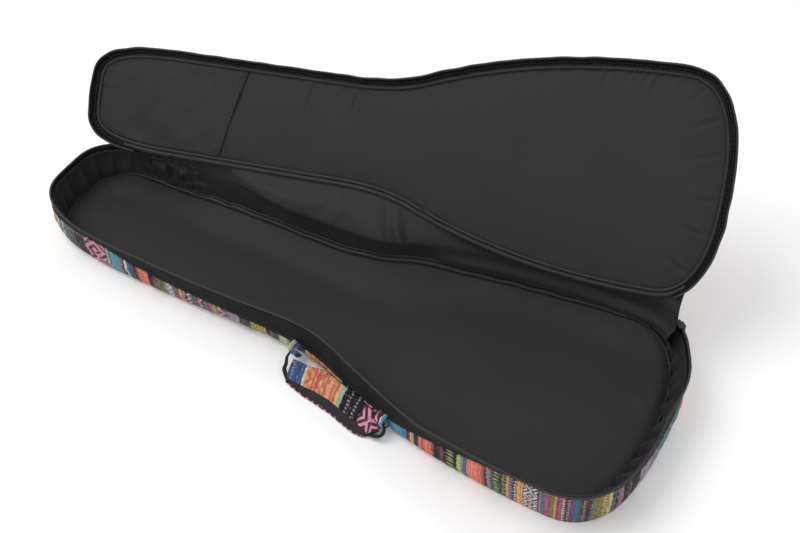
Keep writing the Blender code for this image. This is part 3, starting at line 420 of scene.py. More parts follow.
def make_outline(samples=400, count=3136):
    """Even points, inward normals and length of the loop: head, near side, tail, far side."""
    turn = np.linspace(0.0, math.pi / 2, samples)
    sine = np.sin(turn)
    cosine = np.clip(np.cos(turn), 0.0, 1.0)
    parts = [(HEAD_ROUND_LENGTH * (1 - cosine ** (2 / HEAD_ROUNDNESS)),
              NECK_HALF_WIDTH * sine ** (2 / HEAD_ROUNDNESS))]
    stations = ((HEAD_ROUND_LENGTH, NECK_HALF_WIDTH, 0.0), (FLARE_START, NECK_HALF_WIDTH, 0.0),
                (SHOULDER_PLACE, SHOULDER_HALF_WIDTH, SHOULDER_SLOPE),
                (BOUT_PLACE, BOUT_HALF_WIDTH, 0.0))
    for first, second in zip(stations, stations[1:]):
        places = np.linspace(first[0], second[0], samples)[1:]
        parts.append((places, cubic(places, *first, *second)))
    parts.append((BOUT_PLACE + TAIL_ROUND_LENGTH * sine[1:] ** (2 / TAIL_ROUNDNESS),
                  BOUT_HALF_WIDTH * cosine[1:] ** (2 / TAIL_ROUNDNESS)))
    half = np.concatenate([np.stack(part, axis=1) for part in parts])
    near = half * (1, -1) - (BAG_LENGTH / 2, 0)
    loop = np.concatenate([near, near[-2::-1] * (1, -1)])
    steps = path_steps(loop)
    even = np.linspace(0.0, steps[-1], count, endpoint=False)
    points = sampled(even, steps, loop)
    along = np.roll(points, -6, axis=0) - np.roll(points, 6, axis=0)
    normals = np.stack([-along[:, 1], along[:, 0]], axis=1)
    window = np.ones(25) / 25
    wrapped = np.concatenate([normals[-12:], normals, normals[:12]])
    normals = np.stack([np.convolve(column, window, mode="valid") for column in wrapped.T],
                       axis=1)
    return even, points, unit(normals), steps[-1]


RUN, LOOP, NORMALS, LENGTH = make_outline()
HALF_RUN = LENGTH / 2
EDGE_RUN = np.linspace(0.0, LENGTH, EDGE_COLUMNS, endpoint=False)


def edge_at(run):
    """Points and inward normals of the outline at distances along it."""
    place = np.mod(run, LENGTH)
    return sampled(place, RUN, LOOP, LENGTH), unit(sampled(place, RUN, NORMALS, LENGTH))


def far_run_at(place):
    """Distance along the outline where its far side reaches a place."""
    half = len(RUN) // 2
    return float(np.interp(BAG_LENGTH / 2 - place, -LOOP[half:, 0], RUN[half:]))


HINGE_END = far_run_at(HINGE_HEAD_PLACE)
HINGE_START = far_run_at(HINGE_TAIL_PLACE)


def zip_run(margin=0.0, step=0.0025):
    """Distances along the outline from the far side of the head to the far side of the tail."""
    start = HINGE_END - LENGTH - margin
    end = HINGE_START + margin
    return np.linspace(start, end, int((end - start) / step))


def ease(value):
    """Smooth step from 0 to 1 of clipped values."""
    t = np.clip(value, 0.0, 1.0)
    return t * t * (3 - 2 * t)


def bell(value):
    """Hill of height 1 at value 0."""
    return np.exp(-value ** 2)


def bulge(t):
    """Arch of height 1 over shares from 0 to 1."""
    return np.sin(math.pi * t)


def ripple(x, y, wavelength, seed, waves=7):
    """Smooth seeded noise of about unit height, at points x and y."""
    random = np.random.default_rng(seed)
    total = np.zeros(np.broadcast(x, y).shape)
    for _ in range(waves):
        turn = random.uniform(0, 2 * math.pi)
        reach = 2 * math.pi / (wavelength * random.uniform(0.6, 1.6))
        phase = random.uniform(0, 2 * math.pi)
        total = total + np.sin(reach * (x * math.cos(turn) + y * math.sin(turn)) + phase)
    return total / math.sqrt(waves / 2)


def edge_noise(run, wavelength, seed, waves=9):
    """Smooth seeded noise of about unit height along the outline, the same at both its ends."""
    random = np.random.default_rng(seed)
    total = np.zeros(np.shape(run))
    for _ in range(waves):
        cycles = round(LENGTH / wavelength * random.uniform(0.6, 1.5))
        phase = random.uniform(0, 2 * math.pi)
        total = total + np.sin(2 * math.pi * cycles * run / LENGTH + phase)
    return total / math.sqrt(waves / 2)


def end_shares(run):
    """How far run distances belong to the head end and to the tail end, each 0 to 1."""
    near = np.mod(run, LENGTH)
    near = np.minimum(near, LENGTH - near)
    return ease((0.115 - near) / 0.06), ease((0.200 - (HALF_RUN - near)) / 0.08)


def puckers(run, inner, strengths, spacing, fade, seed):
    """Height of the puckers that run in from a sewn edge, by run distance and depth inside it.

    The strengths are those along the sides, and what the head end and the tail end add.
    """
    head, tail = end_shares(run)
    side, at_head, at_tail = strengths
    strength = bpy.context.scene.gig_bag_sizes.pucker * (side + at_head * head + at_tail * tail)
    noise = edge_noise(run + 0.4 * inner, spacing * 2, seed)
    return strength * (bell(noise / 0.32) - 0.30) * np.exp(-inner / fade)


def crease_depth(points, creases):
    """Depth of the creases at flat points: each is a valley that fades towards its end."""
    total = np.zeros(points.shape[:-1])
    for start, end, width, depth in creases:
        first = np.array((start[0] / 1000 - BAG_LENGTH / 2, start[1] / 1000))
        along = (np.array(end) - np.array(start)) / 1000
        length = np.linalg.norm(along)
        along = along / length
        gap = points - first
        ahead = gap @ along
        aside = (gap[..., 0] * along[1] - gap[..., 1] * along[0]) / (width / 1000)
        fade = ease((ahead + 0.006) / 0.006) * ease((length - ahead) / (length * 0.7))
        total = total + depth / 1000 * fade * (bell(aside) - 0.4 * bell(np.abs(aside) - 2.0))
    return total


def smooth_columns(grid, rounds):
    """Rounds the corners of each row of a grid, and leaves its ends where they are."""
    for _ in range(rounds):
        grid = grid.copy()
        grid[:, 1:-1] = (grid[:, :-2] + 2 * grid[:, 1:-1] + grid[:, 2:]) / 4
    return grid


def smoothed(values, width):
    """Values averaged over a rounded window of an odd width."""
    kernel = np.hanning(width)
    padded = np.pad(values, width // 2, mode="edge")
    return np.convolve(padded, kernel / kernel.sum(), mode="valid")


def table_value(table, places, column):
    """Smoothed value of a table's column at places, both in the table's millimetres."""
    values = np.array(table, dtype=float)
    fine = np.linspace(values[0, 0], values[-1, 0], 241)
    return np.interp(places, fine, smoothed(np.interp(fine, values[:, 0], values[:, column]), 17))


def depth_of(points):
    """Distance of flat points from the outline, worked out in batches."""
    coarse = LOOP[::5]
    flat = points.reshape(-1, 2)
    nearest = np.empty(len(flat))
    batch = 4000
    for start in range(0, len(flat), batch):
        gap = flat[start:start + batch, None, :] - coarse[None, :, :]
        nearest[start:start + batch] = np.sqrt((gap ** 2).sum(axis=2).min(axis=1))
    return nearest.reshape(points.shape[:-1])


def wall_shape(run):
    """The side wall's base inset, seam height and reach, and rim height and reach, in metres."""
    table = np.array(WALL_SHAPE) / 1000
    near = np.mod(run, LENGTH)
    mirrored = np.where(near <= HALF_RUN, near, LENGTH - near)
    share = ease((mirrored - 0.04) / 0.05) * ease((HALF_RUN - mirrored - 0.03) / 0.05)
    shape = []
    for column, calm in enumerate(CALM_WALL, start=1):
        value = np.interp(mirrored, table[:, 0], table[:, column])
        value = np.where(near > HALF_RUN, value + (calm - value) * share, value)
        shape.append(smoothed(value, 9))
    return shape


def cloth_reach(base, seam_reach, t):
    """Reach of the side cloth from the outline, by share of its height."""
    return (-base[:, None] + (seam_reach + base)[:, None] * (1 - (1 - t) ** WALL_CURVE)
            + WALL_BULGE * bulge(t))


def joint_named(name):
    """Position and axis of one of the frame's joints."""
    joint = next(item for item in frame["joints"] if item["name"] == name)
    return np.array(joint["pos_m"], float), np.array(joint["axis"], float)


LID_JOINT, LID_AXIS = joint_named("lid_hinge")
# The joint's place in single precision, as Blender holds it
HINGE_POINT = np.array(Vector(LID_JOINT))
LID_TURN = np.array(Matrix.Rotation(math.radians(LID_OPEN_DEG), 3, Vector(LID_AXIS)))
LID_INSIDE = LID_TURN @ np.array((0.0, 0.0, -1.0))


def opened(points):
    """Points of the closed lid, turned open about the hinge line."""
    return (points - HINGE_POINT) @ LID_TURN.T + HINGE_POINT


def swept(run, insets, heights):
    """Grid of points at insets from the outline and at heights, one row per run distance."""
    point, normal = edge_at(run)
    return lifted(point[:, None, :] + normal[:, None, :] * insets[..., None], heights)


def edge_line(run, inset, height):
    """Path along the outline at an inset and a height, each one value or one per distance."""
    point, normal = edge_at(run)
    return lifted(point + normal * np.broadcast_to(inset, run.shape)[:, None], height)


def spine_rows(run, insets, steps):
    """Flat rows from an edge at insets to a spine along the bag's middle."""
    point, normal = edge_at(run)
    rows = [point + normal * np.broadcast_to(inset, run.shape)[:, None] for inset in insets]
    last = rows[-1]
    spine = np.stack([np.clip(last[:, 0], SPINE_START, SPINE_END), np.zeros(len(last))], axis=1)
    rows += [last + (spine - last) * (step / steps) for step in range(1, steps + 1)]
    return np.array(rows)


def curve_through(knots, count):
    """Smooth path through knots, with about so many points."""
    knots = np.array(knots, dtype=float)
    keys = np.concatenate([knots[:1] * 2 - knots[1:2], knots, knots[-1:] * 2 - knots[-2:-1]])
    steps = max(2, count // (len(knots) - 1))
    t = np.linspace(0.0, 1.0, steps, endpoint=False)[:, None]
    parts = []
    for a, b, c, d in zip(keys, keys[1:], keys[2:], keys[3:]):
        parts.append(0.5 * (2 * b + (c - a) * t + (2 * a - 5 * b + 4 * c - d) * t ** 2
                            + (3 * b - a - 3 * c + d) * t ** 3))
    return np.concatenate([*parts, knots[-1:]])


def cloth_at(across, down):
    """Cloth coordinates from the places across the stripes and down them, in metres."""
    return np.stack(np.broadcast_arrays(across, down), axis=-1)


def link_mesh(name, mesh, smooth=True):
    """Object of a finished mesh, linked to the scene."""
    if smooth:
        mesh.shade_smooth()
    piece = bpy.data.objects.new(name, mesh)
    bpy.context.scene.collection.objects.link(piece)
    return piece


def link_built(name, builder, mesh=None):
    """Object of what a mesh builder holds, with its faces turned outward."""
    if mesh is None:
        mesh = bpy.data.meshes.new(name)
    bmesh.ops.recalc_face_normals(builder, faces=builder.faces)
    builder.to_mesh(mesh)
    builder.free()
    return link_mesh(name, mesh)


def grid_piece(name, rows, wrap_rows=False, caps=False, cloth=None, weld=0.0):
    """Mesh through a grid of points whose rows are closed loops.

    It takes cloth coordinates in metres if they are given, and merges points nearer than weld.
    """
    count, width = rows.shape[:2]
    i = np.arange(count if wrap_rows else count - 1)[:, None]
    j = np.arange(width)[None, :]
    corners = [i * width + j, i * width + (j + 1) % width,
               ((i + 1) % count) * width + (j + 1) % width, ((i + 1) % count) * width + j]
    faces = np.stack(corners, axis=-1).reshape(-1, 4).tolist()
    if caps:
        faces.append(list(range(width - 1, -1, -1)))
        faces.append([(count - 1) * width + index for index in range(width)])
    mesh = bpy.data.meshes.new(name)
    mesh.from_pydata(rows.reshape(-1, 3).tolist(), [], faces)
    if cloth is not None:
        corner_vertex = np.empty(len(mesh.loops), dtype=np.int64)
        mesh.loops.foreach_get("vertex_index", corner_vertex)
        layer = mesh.uv_layers.new(name="cloth")
        flat = cloth.reshape(-1, 2)[corner_vertex]
        layer.data.foreach_set("uv", flat.astype(np.float32).ravel())
    builder = bmesh.new()
    builder.from_mesh(mesh)
    if weld:
        bmesh.ops.remove_doubles(builder, verts=builder.verts, dist=weld)
    piece = link_built(name, builder, mesh)
    mesh.validate()
    return piece


def shell_piece(name, skin, under, cloth=None, weld=0.0):
    """Closed strip between two grids of points, with cloth coordinates given for the first."""
    if cloth is not None:
        cloth = np.concatenate([cloth, cloth[:, ::-1]], axis=1)
    return grid_piece(name, np.concatenate([skin, under[:, ::-1]], axis=1), caps=True,
                      cloth=cloth, weld=weld)


def panel_grid(rows, heights, back, edge_back):
    """Grid of a panel over rows with heights, and its back's heights at the spine and the edge."""
    return np.concatenate([lifted(rows[-1:], back), lifted(rows[:1], edge_back),
                           lifted(rows, heights)])


def tube_piece(name, path, radius, sides=10, closed=True, squeeze=1.0, up=(0.0, 0.0, 1.0)):
    """Tube along a path of points; radius may change along it."""
    along = np.roll(path, -1, axis=0) - np.roll(path, 1, axis=0)
    if not closed:
        along[0] = path[1] - path[0]
        along[-1] = path[-1] - path[-2]
    along = unit(along)
    side = unit(np.cross(along, np.broadcast_to(up, path.shape)))
    top = np.cross(side, along)
    turn = np.linspace(0, 2 * math.pi, sides, endpoint=False)
    reach = np.broadcast_to(radius, (len(path),))[:, None, None]
    rows = (path[:, None, :] + side[:, None, :] * np.cos(turn)[None, :, None] * reach
            + top[:, None, :] * np.sin(turn)[None, :, None] * reach * squeeze)
    return grid_piece(name, rows, wrap_rows=closed, caps=not closed)


def coil_piece(name, path, radius, pitch, up=(0.0, 0.0, 1.0)):
    """Ribbed bead of a zip's coil along a path of points."""
    steps = path_steps(path)
    turns = np.arange(0.0, steps[-1], pitch / 4)
    swell = radius * (0.80 + 0.20 * np.cos(turns / pitch * 2 * math.pi))
    return tube_piece(name, sampled(turns, steps, path), swell, sides=6, closed=False, up=up)


def stitch_row(name, path, ups, body="tray", finish="bag_thread"):
    """Row of stitches that follows a path of points on cloth, dressed in its thread."""
    sizes = bpy.context.scene.gig_bag_sizes
    steps = path_steps(path)
    pitch = sizes.stitch_length + sizes.stitch_gap
    ups = np.broadcast_to(ups, path.shape)
    builder = bmesh.new()
    shares = ((0.0, 0.25), (0.18, 0.85), (0.5, 1.0), (0.82, 0.85), (1.0, 0.25))
    for index in range(max(1, int(steps[-1] / pitch))):
        rings = []
        for share, swell in shares:
            place = (index + 0.1) * pitch + share * sizes.stitch_length
            centre = Vector(sampled(place, steps, path))
            along = Vector(sampled(place + 0.0004, steps, path)) - centre
            up = Vector(sampled(place, steps, ups)).normalized()
            if along.length < 1e-7:
                along = Vector((1.0, 0.0, 0.0))
            side = along.cross(up).normalized()
            reach = sizes.thread_radius * swell
            middle = centre + up * (sizes.thread_radius * (swell - 0.5))
            rings.append([builder.verts.new(middle + way * reach)
                          for way in (side, up, -side, -up)])
        for first, second in zip(rings, rings[1:]):
            for corner in range(4):
                other = (corner + 1) % 4
                builder.faces.new((first[corner], first[other], second[other], second[corner]))
        builder.faces.new(rings[0][::-1])
        builder.faces.new(rings[-1])
    return dress(link_built(name, builder), finish, body)


def linear(dye):
    """Linear colour, with its alpha, of a dye's sRGB colour."""
    values = []
    for part in DYES[dye]:
        share = part / 255
        values.append(share / 12.92 if share <= 0.04045 else ((share + 0.055) / 1.055) ** 2.4)
    return (*values, 1.0)


def scaled(colour, share):
    """Colour made darker or paler by a share."""
    return tuple(min(1.0, part * share) for part in colour)


class Nodes:
    """Short way to add and join shader nodes in one tree."""

    def __init__(self, tree):
        self.tree = tree

    def add(self, kind, **settings):
        """New node with the settings given."""
        item = self.tree.nodes.new(kind)
        for key, value in settings.items():
            setattr(item, key, value)
        return item

    def join(self, value, socket):
        """Links a socket, or sets a plain value."""
        if isinstance(value, bpy.types.NodeSocket):
            self.tree.links.new(value, socket)
        else:
            socket.default_value = value

    def maths(self, operation, first, second=0.0, third=0.0):
        """Output of a Math node."""
        item = self.add("ShaderNodeMath", operation=operation)
        for value, socket in zip((first, second, third), item.inputs):
            self.join(value, socket)
        return item.outputs[0]

    def mix(self, share, first, second, blend="MIX"):
        """Colour output of a Mix node."""
        item = self.add("ShaderNodeMix", data_type="RGBA", blend_type=blend)
        self.join(share, item.inputs[0])
        for value, socket in ((first, item.inputs[6]), (second, item.inputs[7])):
            if isinstance(value, tuple) and len(value) == 3:
                value = (*value, 1.0)
            self.join(value, socket)
        return item.outputs[2]

    def place(self):
        """Coordinates on the object, in metres."""
        return self.add("ShaderNodeTexCoord").outputs["Object"]

    def split(self, vector):
        """The three parts of a vector."""
        item = self.add("ShaderNodeSeparateXYZ")
        self.join(vector, item.inputs[0])
        return item.outputs

    def noise(self, vector, scale, detail=2.0, roughness=0.5, distortion=0.0):
        """Height output of a Noise node."""
        item = self.add("ShaderNodeTexNoise")
        self.join(vector, item.inputs["Vector"])
        for name, value in (("Scale", scale), ("Detail", detail), ("Roughness", roughness),
                            ("Distortion", distortion)):
            item.inputs[name].default_value = value
        return item.outputs["Fac"]

    def chance(self, value):
        """Random value from 0 to 1 for each number, or for each pair in a vector."""
        flat = value.type == "VECTOR"
        item = self.add("ShaderNodeTexWhiteNoise", noise_dimensions="2D" if flat else "1D")
        self.join(value, item.inputs["Vector" if flat else "W"])
        return item.outputs["Value"]

    def seen(self):
        """1 for rays of the camera, of reflections and of transmission, and 0 for the rest."""
        rays = self.add("ShaderNodeLightPath").outputs
        seen = self.maths("MAXIMUM", rays["Is Camera Ray"], rays["Is Glossy Ray"])
        return self.maths("MAXIMUM", seen, rays["Is Transmission Ray"])


def blank_material(name, roughness, metallic=0.0, sheen=0.0, specular=0.5):
    """New material, its node helper and its shader, with plain values set on the shader."""
    material = bpy.data.materials.new(name)
    material.use_nodes = True
    shader = material.node_tree.nodes["Principled BSDF"]
    for setting, value in (("Roughness", roughness), ("Metallic", metallic),
                           ("Specular IOR Level", specular), ("Sheen Weight", sheen),
                           ("Sheen Roughness", 0.45)):
        shader.inputs[setting].default_value = value
    return material, Nodes(material.node_tree), shader


def finish_material(material, nodes, shader, colour, height, strength, distance):
    """Joins a material's colour and its bump to its shader."""
    nodes.join(colour, shader.inputs["Base Color"])
    item = nodes.add("ShaderNodeBump")
    item.inputs["Strength"].default_value = strength
    item.inputs["Distance"].default_value = distance
    nodes.join(height, item.inputs["Height"])
    nodes.join(item.outputs["Normal"], shader.inputs["Normal"])
    return material


def weave_height(nodes, vector, threads):
    """Plain weave of so many threads per metre, from crossing waves."""
    maths = nodes.maths
    first, second, third = [maths("SINE", maths("MULTIPLY", part, threads * math.pi))
                            for part in nodes.split(vector)]
    turned = maths("MULTIPLY", third, first)
    return maths("ADD", maths("MULTIPLY", first, second), maths("MULTIPLY", turned, 0.7))


def cloth_material(name, colour, threads, roughness, sheen, mottle, weave, specular):
    """Plain woven cloth: thread weave, soft mottling and slight wear."""
    material, nodes, shader = blank_material(name, roughness, sheen=sheen, specular=specular)
    maths = nodes.maths
    place = nodes.place()
    broad = nodes.noise(place, 14.0, 3.0, 0.55)
    fine = nodes.noise(place, 420.0, 2.0, 0.6)
    tone = maths("ADD", maths("MULTIPLY", broad, 0.6), maths("MULTIPLY", fine, 0.4))
    ramp = nodes.add("ShaderNodeMapRange")
    nodes.join(tone, ramp.inputs["Value"])
    ramp.inputs["From Min"].default_value = 0.32
    ramp.inputs["From Max"].default_value = 0.68
    shade = nodes.mix(ramp.outputs["Result"], scaled(colour, 1 - mottle),
                      scaled(colour, 1 + mottle))
    height = maths("ADD", maths("MULTIPLY", weave_height(nodes, place, threads), 0.5), fine)
    return finish_material(material, nodes, shader, shade, height, weave, 0.0003)


def figure_mask(nodes, kind, across, down, middle, width, period):
    """Mask of one woven figure at its stripe, from cloth coordinates in millimetres."""
    maths = nodes.maths

    def band(value, centre, reach):
        """1 where a value lies within reach of a centre."""
        return maths("LESS_THAN", maths("ABSOLUTE", maths("SUBTRACT", value, centre)), reach)

    place = maths("DIVIDE", maths("SUBTRACT", across, middle), width / 2)
    reach = maths("ABSOLUTE", place)
    inside = maths("LESS_THAN", reach, 1.0)
    wave = maths("MULTIPLY", maths("PINGPONG", maths("DIVIDE", down, period), 0.5), 2.0)
    if kind == "diamond":
        ring = maths("ADD", reach, wave)
        figure = maths("MAXIMUM", band(ring, 0.86, 0.20), maths("LESS_THAN", ring, 0.30))
        figure = maths("MAXIMUM", figure, band(ring, 1.55, 0.14))
    elif kind == "zigzag":
        figure = band(place, maths("SUBTRACT", maths("MULTIPLY", wave, 1.3), 0.65), 0.34)
    else:
        dot = maths("ADD", maths("MULTIPLY", reach, 0.5), maths("SUBTRACT", 1.0, wave))
        figure = maths("LESS_THAN", dot, 0.55)
    return maths("MULTIPLY", inside, figure)


def stripe_colour(nodes, place):
    """Colour of the stripes at places across them, in millimetres, from chained ramps."""
    colour = None
    for first in range(0, len(STRIPES), RAMP_STOPS):
        group = STRIPES[first:first + RAMP_STOPS]
        start = STRIPES[first - 1][0] if first else 0
        span = group[-1][0] - start
        ramp = nodes.add("ShaderNodeValToRGB")
        ramp.color_ramp.interpolation = "CONSTANT"
        stops = ramp.color_ramp.elements
        stops[0].position = 0.0
        stops[0].color = linear(group[0][1])
        stops.remove(stops[1])
        for (before, _), (_, dye) in zip(group, group[1:]):
            stops.new((before - start) / span).color = linear(dye)
        share = nodes.maths("DIVIDE", nodes.maths("SUBTRACT", place, start), span)
        nodes.join(share, ramp.inputs[0])
        found = ramp.outputs["Color"]
        if colour is not None:
            found = nodes.mix(nodes.maths("GREATER_THAN", place, start), colour, found)
        colour = found
    return colour


def stripes_material(name):
    """Striped woven cloth with small figures and painted shade between its threads, from cloth
    coordinates in metres.
    """
    material, nodes, shader = blank_material(name, 0.88, sheen=0.10, specular=0.18)
    maths = nodes.maths
    coordinates = nodes.add("ShaderNodeUVMap", uv_map="cloth").outputs["UV"]
    across, down = [maths("MULTIPLY", part, 1000.0) for part in nodes.split(coordinates)[:2]]
    noise = nodes.noise(coordinates, 260.0, 1.0)
    wander = maths("MULTIPLY", maths("SUBTRACT", noise, 0.5), 0.7)
    across = maths("ADD", maths("WRAP", across, STRIPES[-1][0], 0.0), wander)

    yarn = maths("FLOOR", maths("DIVIDE", across, YARN_PITCH))
    yarn_tone = nodes.chance(yarn)
    dash = nodes.add("ShaderNodeCombineXYZ")
    nodes.join(yarn, dash.inputs[0])
    row = maths("ADD", maths("DIVIDE", down, DASH_LENGTH), yarn_tone)
    nodes.join(maths("FLOOR", row), dash.inputs[1])
    dash_tone = nodes.chance(dash.outputs[0])
    scatter = maths("MULTIPLY", maths("SUBTRACT", dash_tone, 0.5), YARN_SCATTER)
    woven = maths("ADD", across, scatter)
    colour = stripe_colour(nodes, woven)

    pin_tone = nodes.chance(maths("FLOOR", maths("DIVIDE", woven, PIN_WIDTH)))
    dark_pin = maths("GREATER_THAN", pin_tone, 0.78)
    pale_pin = maths("LESS_THAN", pin_tone, 0.15)
    dots = maths("SINE", maths("MULTIPLY", down, 2 * math.pi / PIN_DOT_PITCH))
    pale_pin = maths("MULTIPLY", pale_pin, maths("GREATER_THAN", dots, -0.1))
    masks = [(dark_pin, 0.50, "ink"), (pale_pin, 0.34, "cream")]
    for kind, middle, width, period, dye in FIGURES:
        masks.append((figure_mask(nodes, kind, across, down, middle, width, period), 0.88, dye))
    for mask, strength, dye in masks:
        colour = nodes.mix(maths("MULTIPLY", mask, strength), colour, linear(dye))

    # Crossing waves of the threads: in the colour they darken the gaps between the rounded threads,
    # a painted shade of the weave's relief, and they also drive the bump
    thread_across = maths("COSINE", maths("MULTIPLY", across, 2 * math.pi / YARN_PITCH))
    thread_down = maths("COSINE", maths("MULTIPLY", down, 2 * math.pi / THREAD_PITCH))
    weave = maths("MULTIPLY", thread_down, thread_across)
    # Tone that multiplies the colour: the yarns' and dashes' own random tones, plus the weave term,
    # which is painted shade
    shade = maths("MULTIPLY_ADD", yarn_tone, 0.44, 0.52)
    shade = maths("ADD", shade, maths("MULTIPLY", dash_tone, 0.36))
    shade = maths("ADD", shade, maths("MULTIPLY", weave, 0.10))
    tone = nodes.add("ShaderNodeCombineXYZ")
    for socket in tone.inputs:
        nodes.join(shade, socket)
    colour = nodes.mix(1.0, colour, tone.outputs[0], "MULTIPLY")
    speck = maths("GREATER_THAN", dash_tone, 0.93)
    colour = nodes.mix(maths("MULTIPLY", speck, 0.30), colour, linear("sand"))
    muted = nodes.add("ShaderNodeHueSaturation")
    muted.inputs["Saturation"].default_value = 0.86
    nodes.join(colour, muted.inputs["Color"])
    fuzz = nodes.noise(nodes.place(), 900.0, 2.0, 0.6)
    height = maths("ADD", weave, maths("MULTIPLY", fuzz, 0.8))
    return finish_material(material, nodes, shader, muted.outputs["Color"], height, 0.55, 0.0004)


def metal_material(name, colour):
    """Dark plated metal with fine scratches and worn edges."""
    material, nodes, shader = blank_material(name, 0.34, metallic=0.95)
    place = nodes.place()
    scratches = nodes.noise(place, 1400.0, 3.0, 0.7, 1.5)
    wear = nodes.noise(place, 220.0)
    rough = nodes.maths("MULTIPLY_ADD", scratches, 0.22, 0.24)
    nodes.join(rough, shader.inputs["Roughness"])
    shade = nodes.mix(wear, colour, scaled(colour, 1.7))
    return finish_material(material, nodes, shader, shade, scratches, 0.12, 0.0002)


def plastic_material(name, colour, roughness):
    """Moulded plastic with a fine grain."""
    material, nodes, shader = blank_material(name, roughness)
    grain = nodes.noise(nodes.place(), 1800.0)
    shade = nodes.mix(grain, scaled(colour, 0.85), scaled(colour, 1.2))
    return finish_material(material, nodes, shader, shade, grain, 0.15, 0.0001)


def finish_named(name):
    """Material of the bag by its name, made the first time it is asked for."""
    found = bpy.data.materials.get(name)
    if found is not None:
        return found
    colours = bpy.context.scene.gig_bag_colours
    if name in CLOTHS:
        setting, *looks = CLOTHS[name]
        return cloth_material(name, tuple(getattr(colours, setting)), *looks)
    if name in PLASTICS:
        return plastic_material(name, *PLASTICS[name])
    if name == "bag_metal":
        return metal_material(name, tuple(colours.metal))
    return stripes_material(name)


def dress(piece, finish, body, nodes=()):
    """Gives a piece its finish and its body, and hides the CAD nodes that it stands for."""
    piece.data.materials.clear()
    piece.data.materials.append(finish_named(finish))
    if body is not None:
        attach(piece, body)
    if nodes:
        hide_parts(*nodes)
    return piece


def far_share(points):
    """How far flat points belong to the floor's far edge, 0 to 1."""
    x = points[..., 0]
    y = points[..., 1]
    return ease((y - 0.005) / 0.035) * ease((x + 0.295) / 0.040) * ease((0.290 - x) / 0.040)


def floor_height(points, depth, crown):
    """Height of the floor's lining at flat points, with its swell and its raised far edge."""
    x = points[..., 0]
    y = points[..., 1]
    inner = np.clip(depth - INNER_INSET, 0, None)
    swell = crown * (1 - np.exp(-inner / 0.012))
    rise = table_value(FAR_EDGE_RISE, (x + BAG_LENGTH / 2) * 1000, 1) / 1000
    curl = rise * ease((y - 0.004) / 0.030) * np.exp(-(inner / FAR_EDGE_REACH) ** 1.4)
    soft = 0.00022 * ripple(x, y, 0.075, 4) * ease(inner / 0.01)
    dip = 0.0034 * (1 - far_share(points)) * bell(inner / 0.007)
    return FLOOR_TOP + swell + curl - dip + soft


class GIGBAG_OT_floor(bpy.types.Operator):
    """Makes the padded floor with its crowned nylon lining and its rolled binding."""

    bl_idname = "gigbag.floor"
    bl_label = "Floor"

    def execute(self, context):
        sizes = context.scene.gig_bag_sizes
        steps = (0.0, 0.0008, 0.002, 0.004, 0.007, 0.010, 0.013, 0.017, 0.022, 0.028)
        rows = spine_rows(EDGE_RUN, INNER_INSET + np.array(steps), 22)
        depth = depth_of(rows)
        inner = np.clip(depth - INNER_INSET, 0, None)
        heights = (floor_height(rows, depth, sizes.floor_crown)
                   - puckers(EDGE_RUN, inner, (0.6, 0.8, 1.8), 0.012, 0.009, 21))
        half_way = (FLOOR_UNDERSIDE + heights[:1]) / 2
        grid = panel_grid(np.concatenate([rows[:1], rows]), np.concatenate([half_way, heights]),
                          FLOOR_UNDERSIDE, FLOOR_UNDERSIDE)
        dress(grid_piece("floor_pad", grid, weld=SPINE_WELD), "bag_lining", "tray",
              ("floor_lining", "back_padding"))

        wander = 0.0005 * edge_noise(EDGE_RUN, 0.045, 31)
        for name, inset, lift, share in (("floor_piping", 0.0034, 0.5, 1.45),
                                         ("floor_binding_roll", -0.0002, 1.0, 0.8)):
            radius = sizes.piping_radius * share
            flat = edge_line(EDGE_RUN, INNER_INSET + inset, 0.0)[:, :2]
            far = far_share(flat)
            height = (floor_height(flat, depth_of(flat), sizes.floor_crown)
                      + radius * (lift - 0.5 * (1 - far)) + wander)
            roll = tube_piece(name, lifted(flat, height), radius * (0.45 + 0.55 * far))
            dress(roll, "bag_piping", "tray", ("floor_binding",))
        return {"FINISHED"}


def strap_paths():
    """Flat paths of the padded halves and the webbing of both shoulder straps."""
    paths = []
    for sign in (1, -1):
        pad = [(place - BAG_LENGTH / 2, sign * offset) for place, offset in STRAP_PAD]
        foot = np.array((STRAP_FOOT[0] - BAG_LENGTH / 2, sign * STRAP_FOOT[1]))
        paths.append((curve_through(pad, 78), np.array(pad[-1]), foot))
    return paths


def path_distance(points, path):
    """Distance of flat points from a flat path."""
    flat = points.reshape(-1, 2)
    best = np.full(len(flat), 1.0)
    for first, second in zip(path, path[1:]):
        along = second - first
        share = np.clip(((flat - first) @ along) / (along @ along), 0, 1)
        gap = flat - (first + share[:, None] * along)
        best = np.minimum(best, np.sqrt((gap ** 2).sum(axis=1)))
    return best.reshape(points.shape[:-1])


def dress_panel(name, grid, points, body, node):
    """Striped panel of a grid of points, from the flat grid that its cloth was cut to."""
    cloth = grid[..., :2] + np.array((BAG_LENGTH / 2, 0.2))
    piece = grid_piece(name, points, cloth=cloth, weld=SPINE_WELD)
    return dress(piece, "bag_stripes", body, (node,))


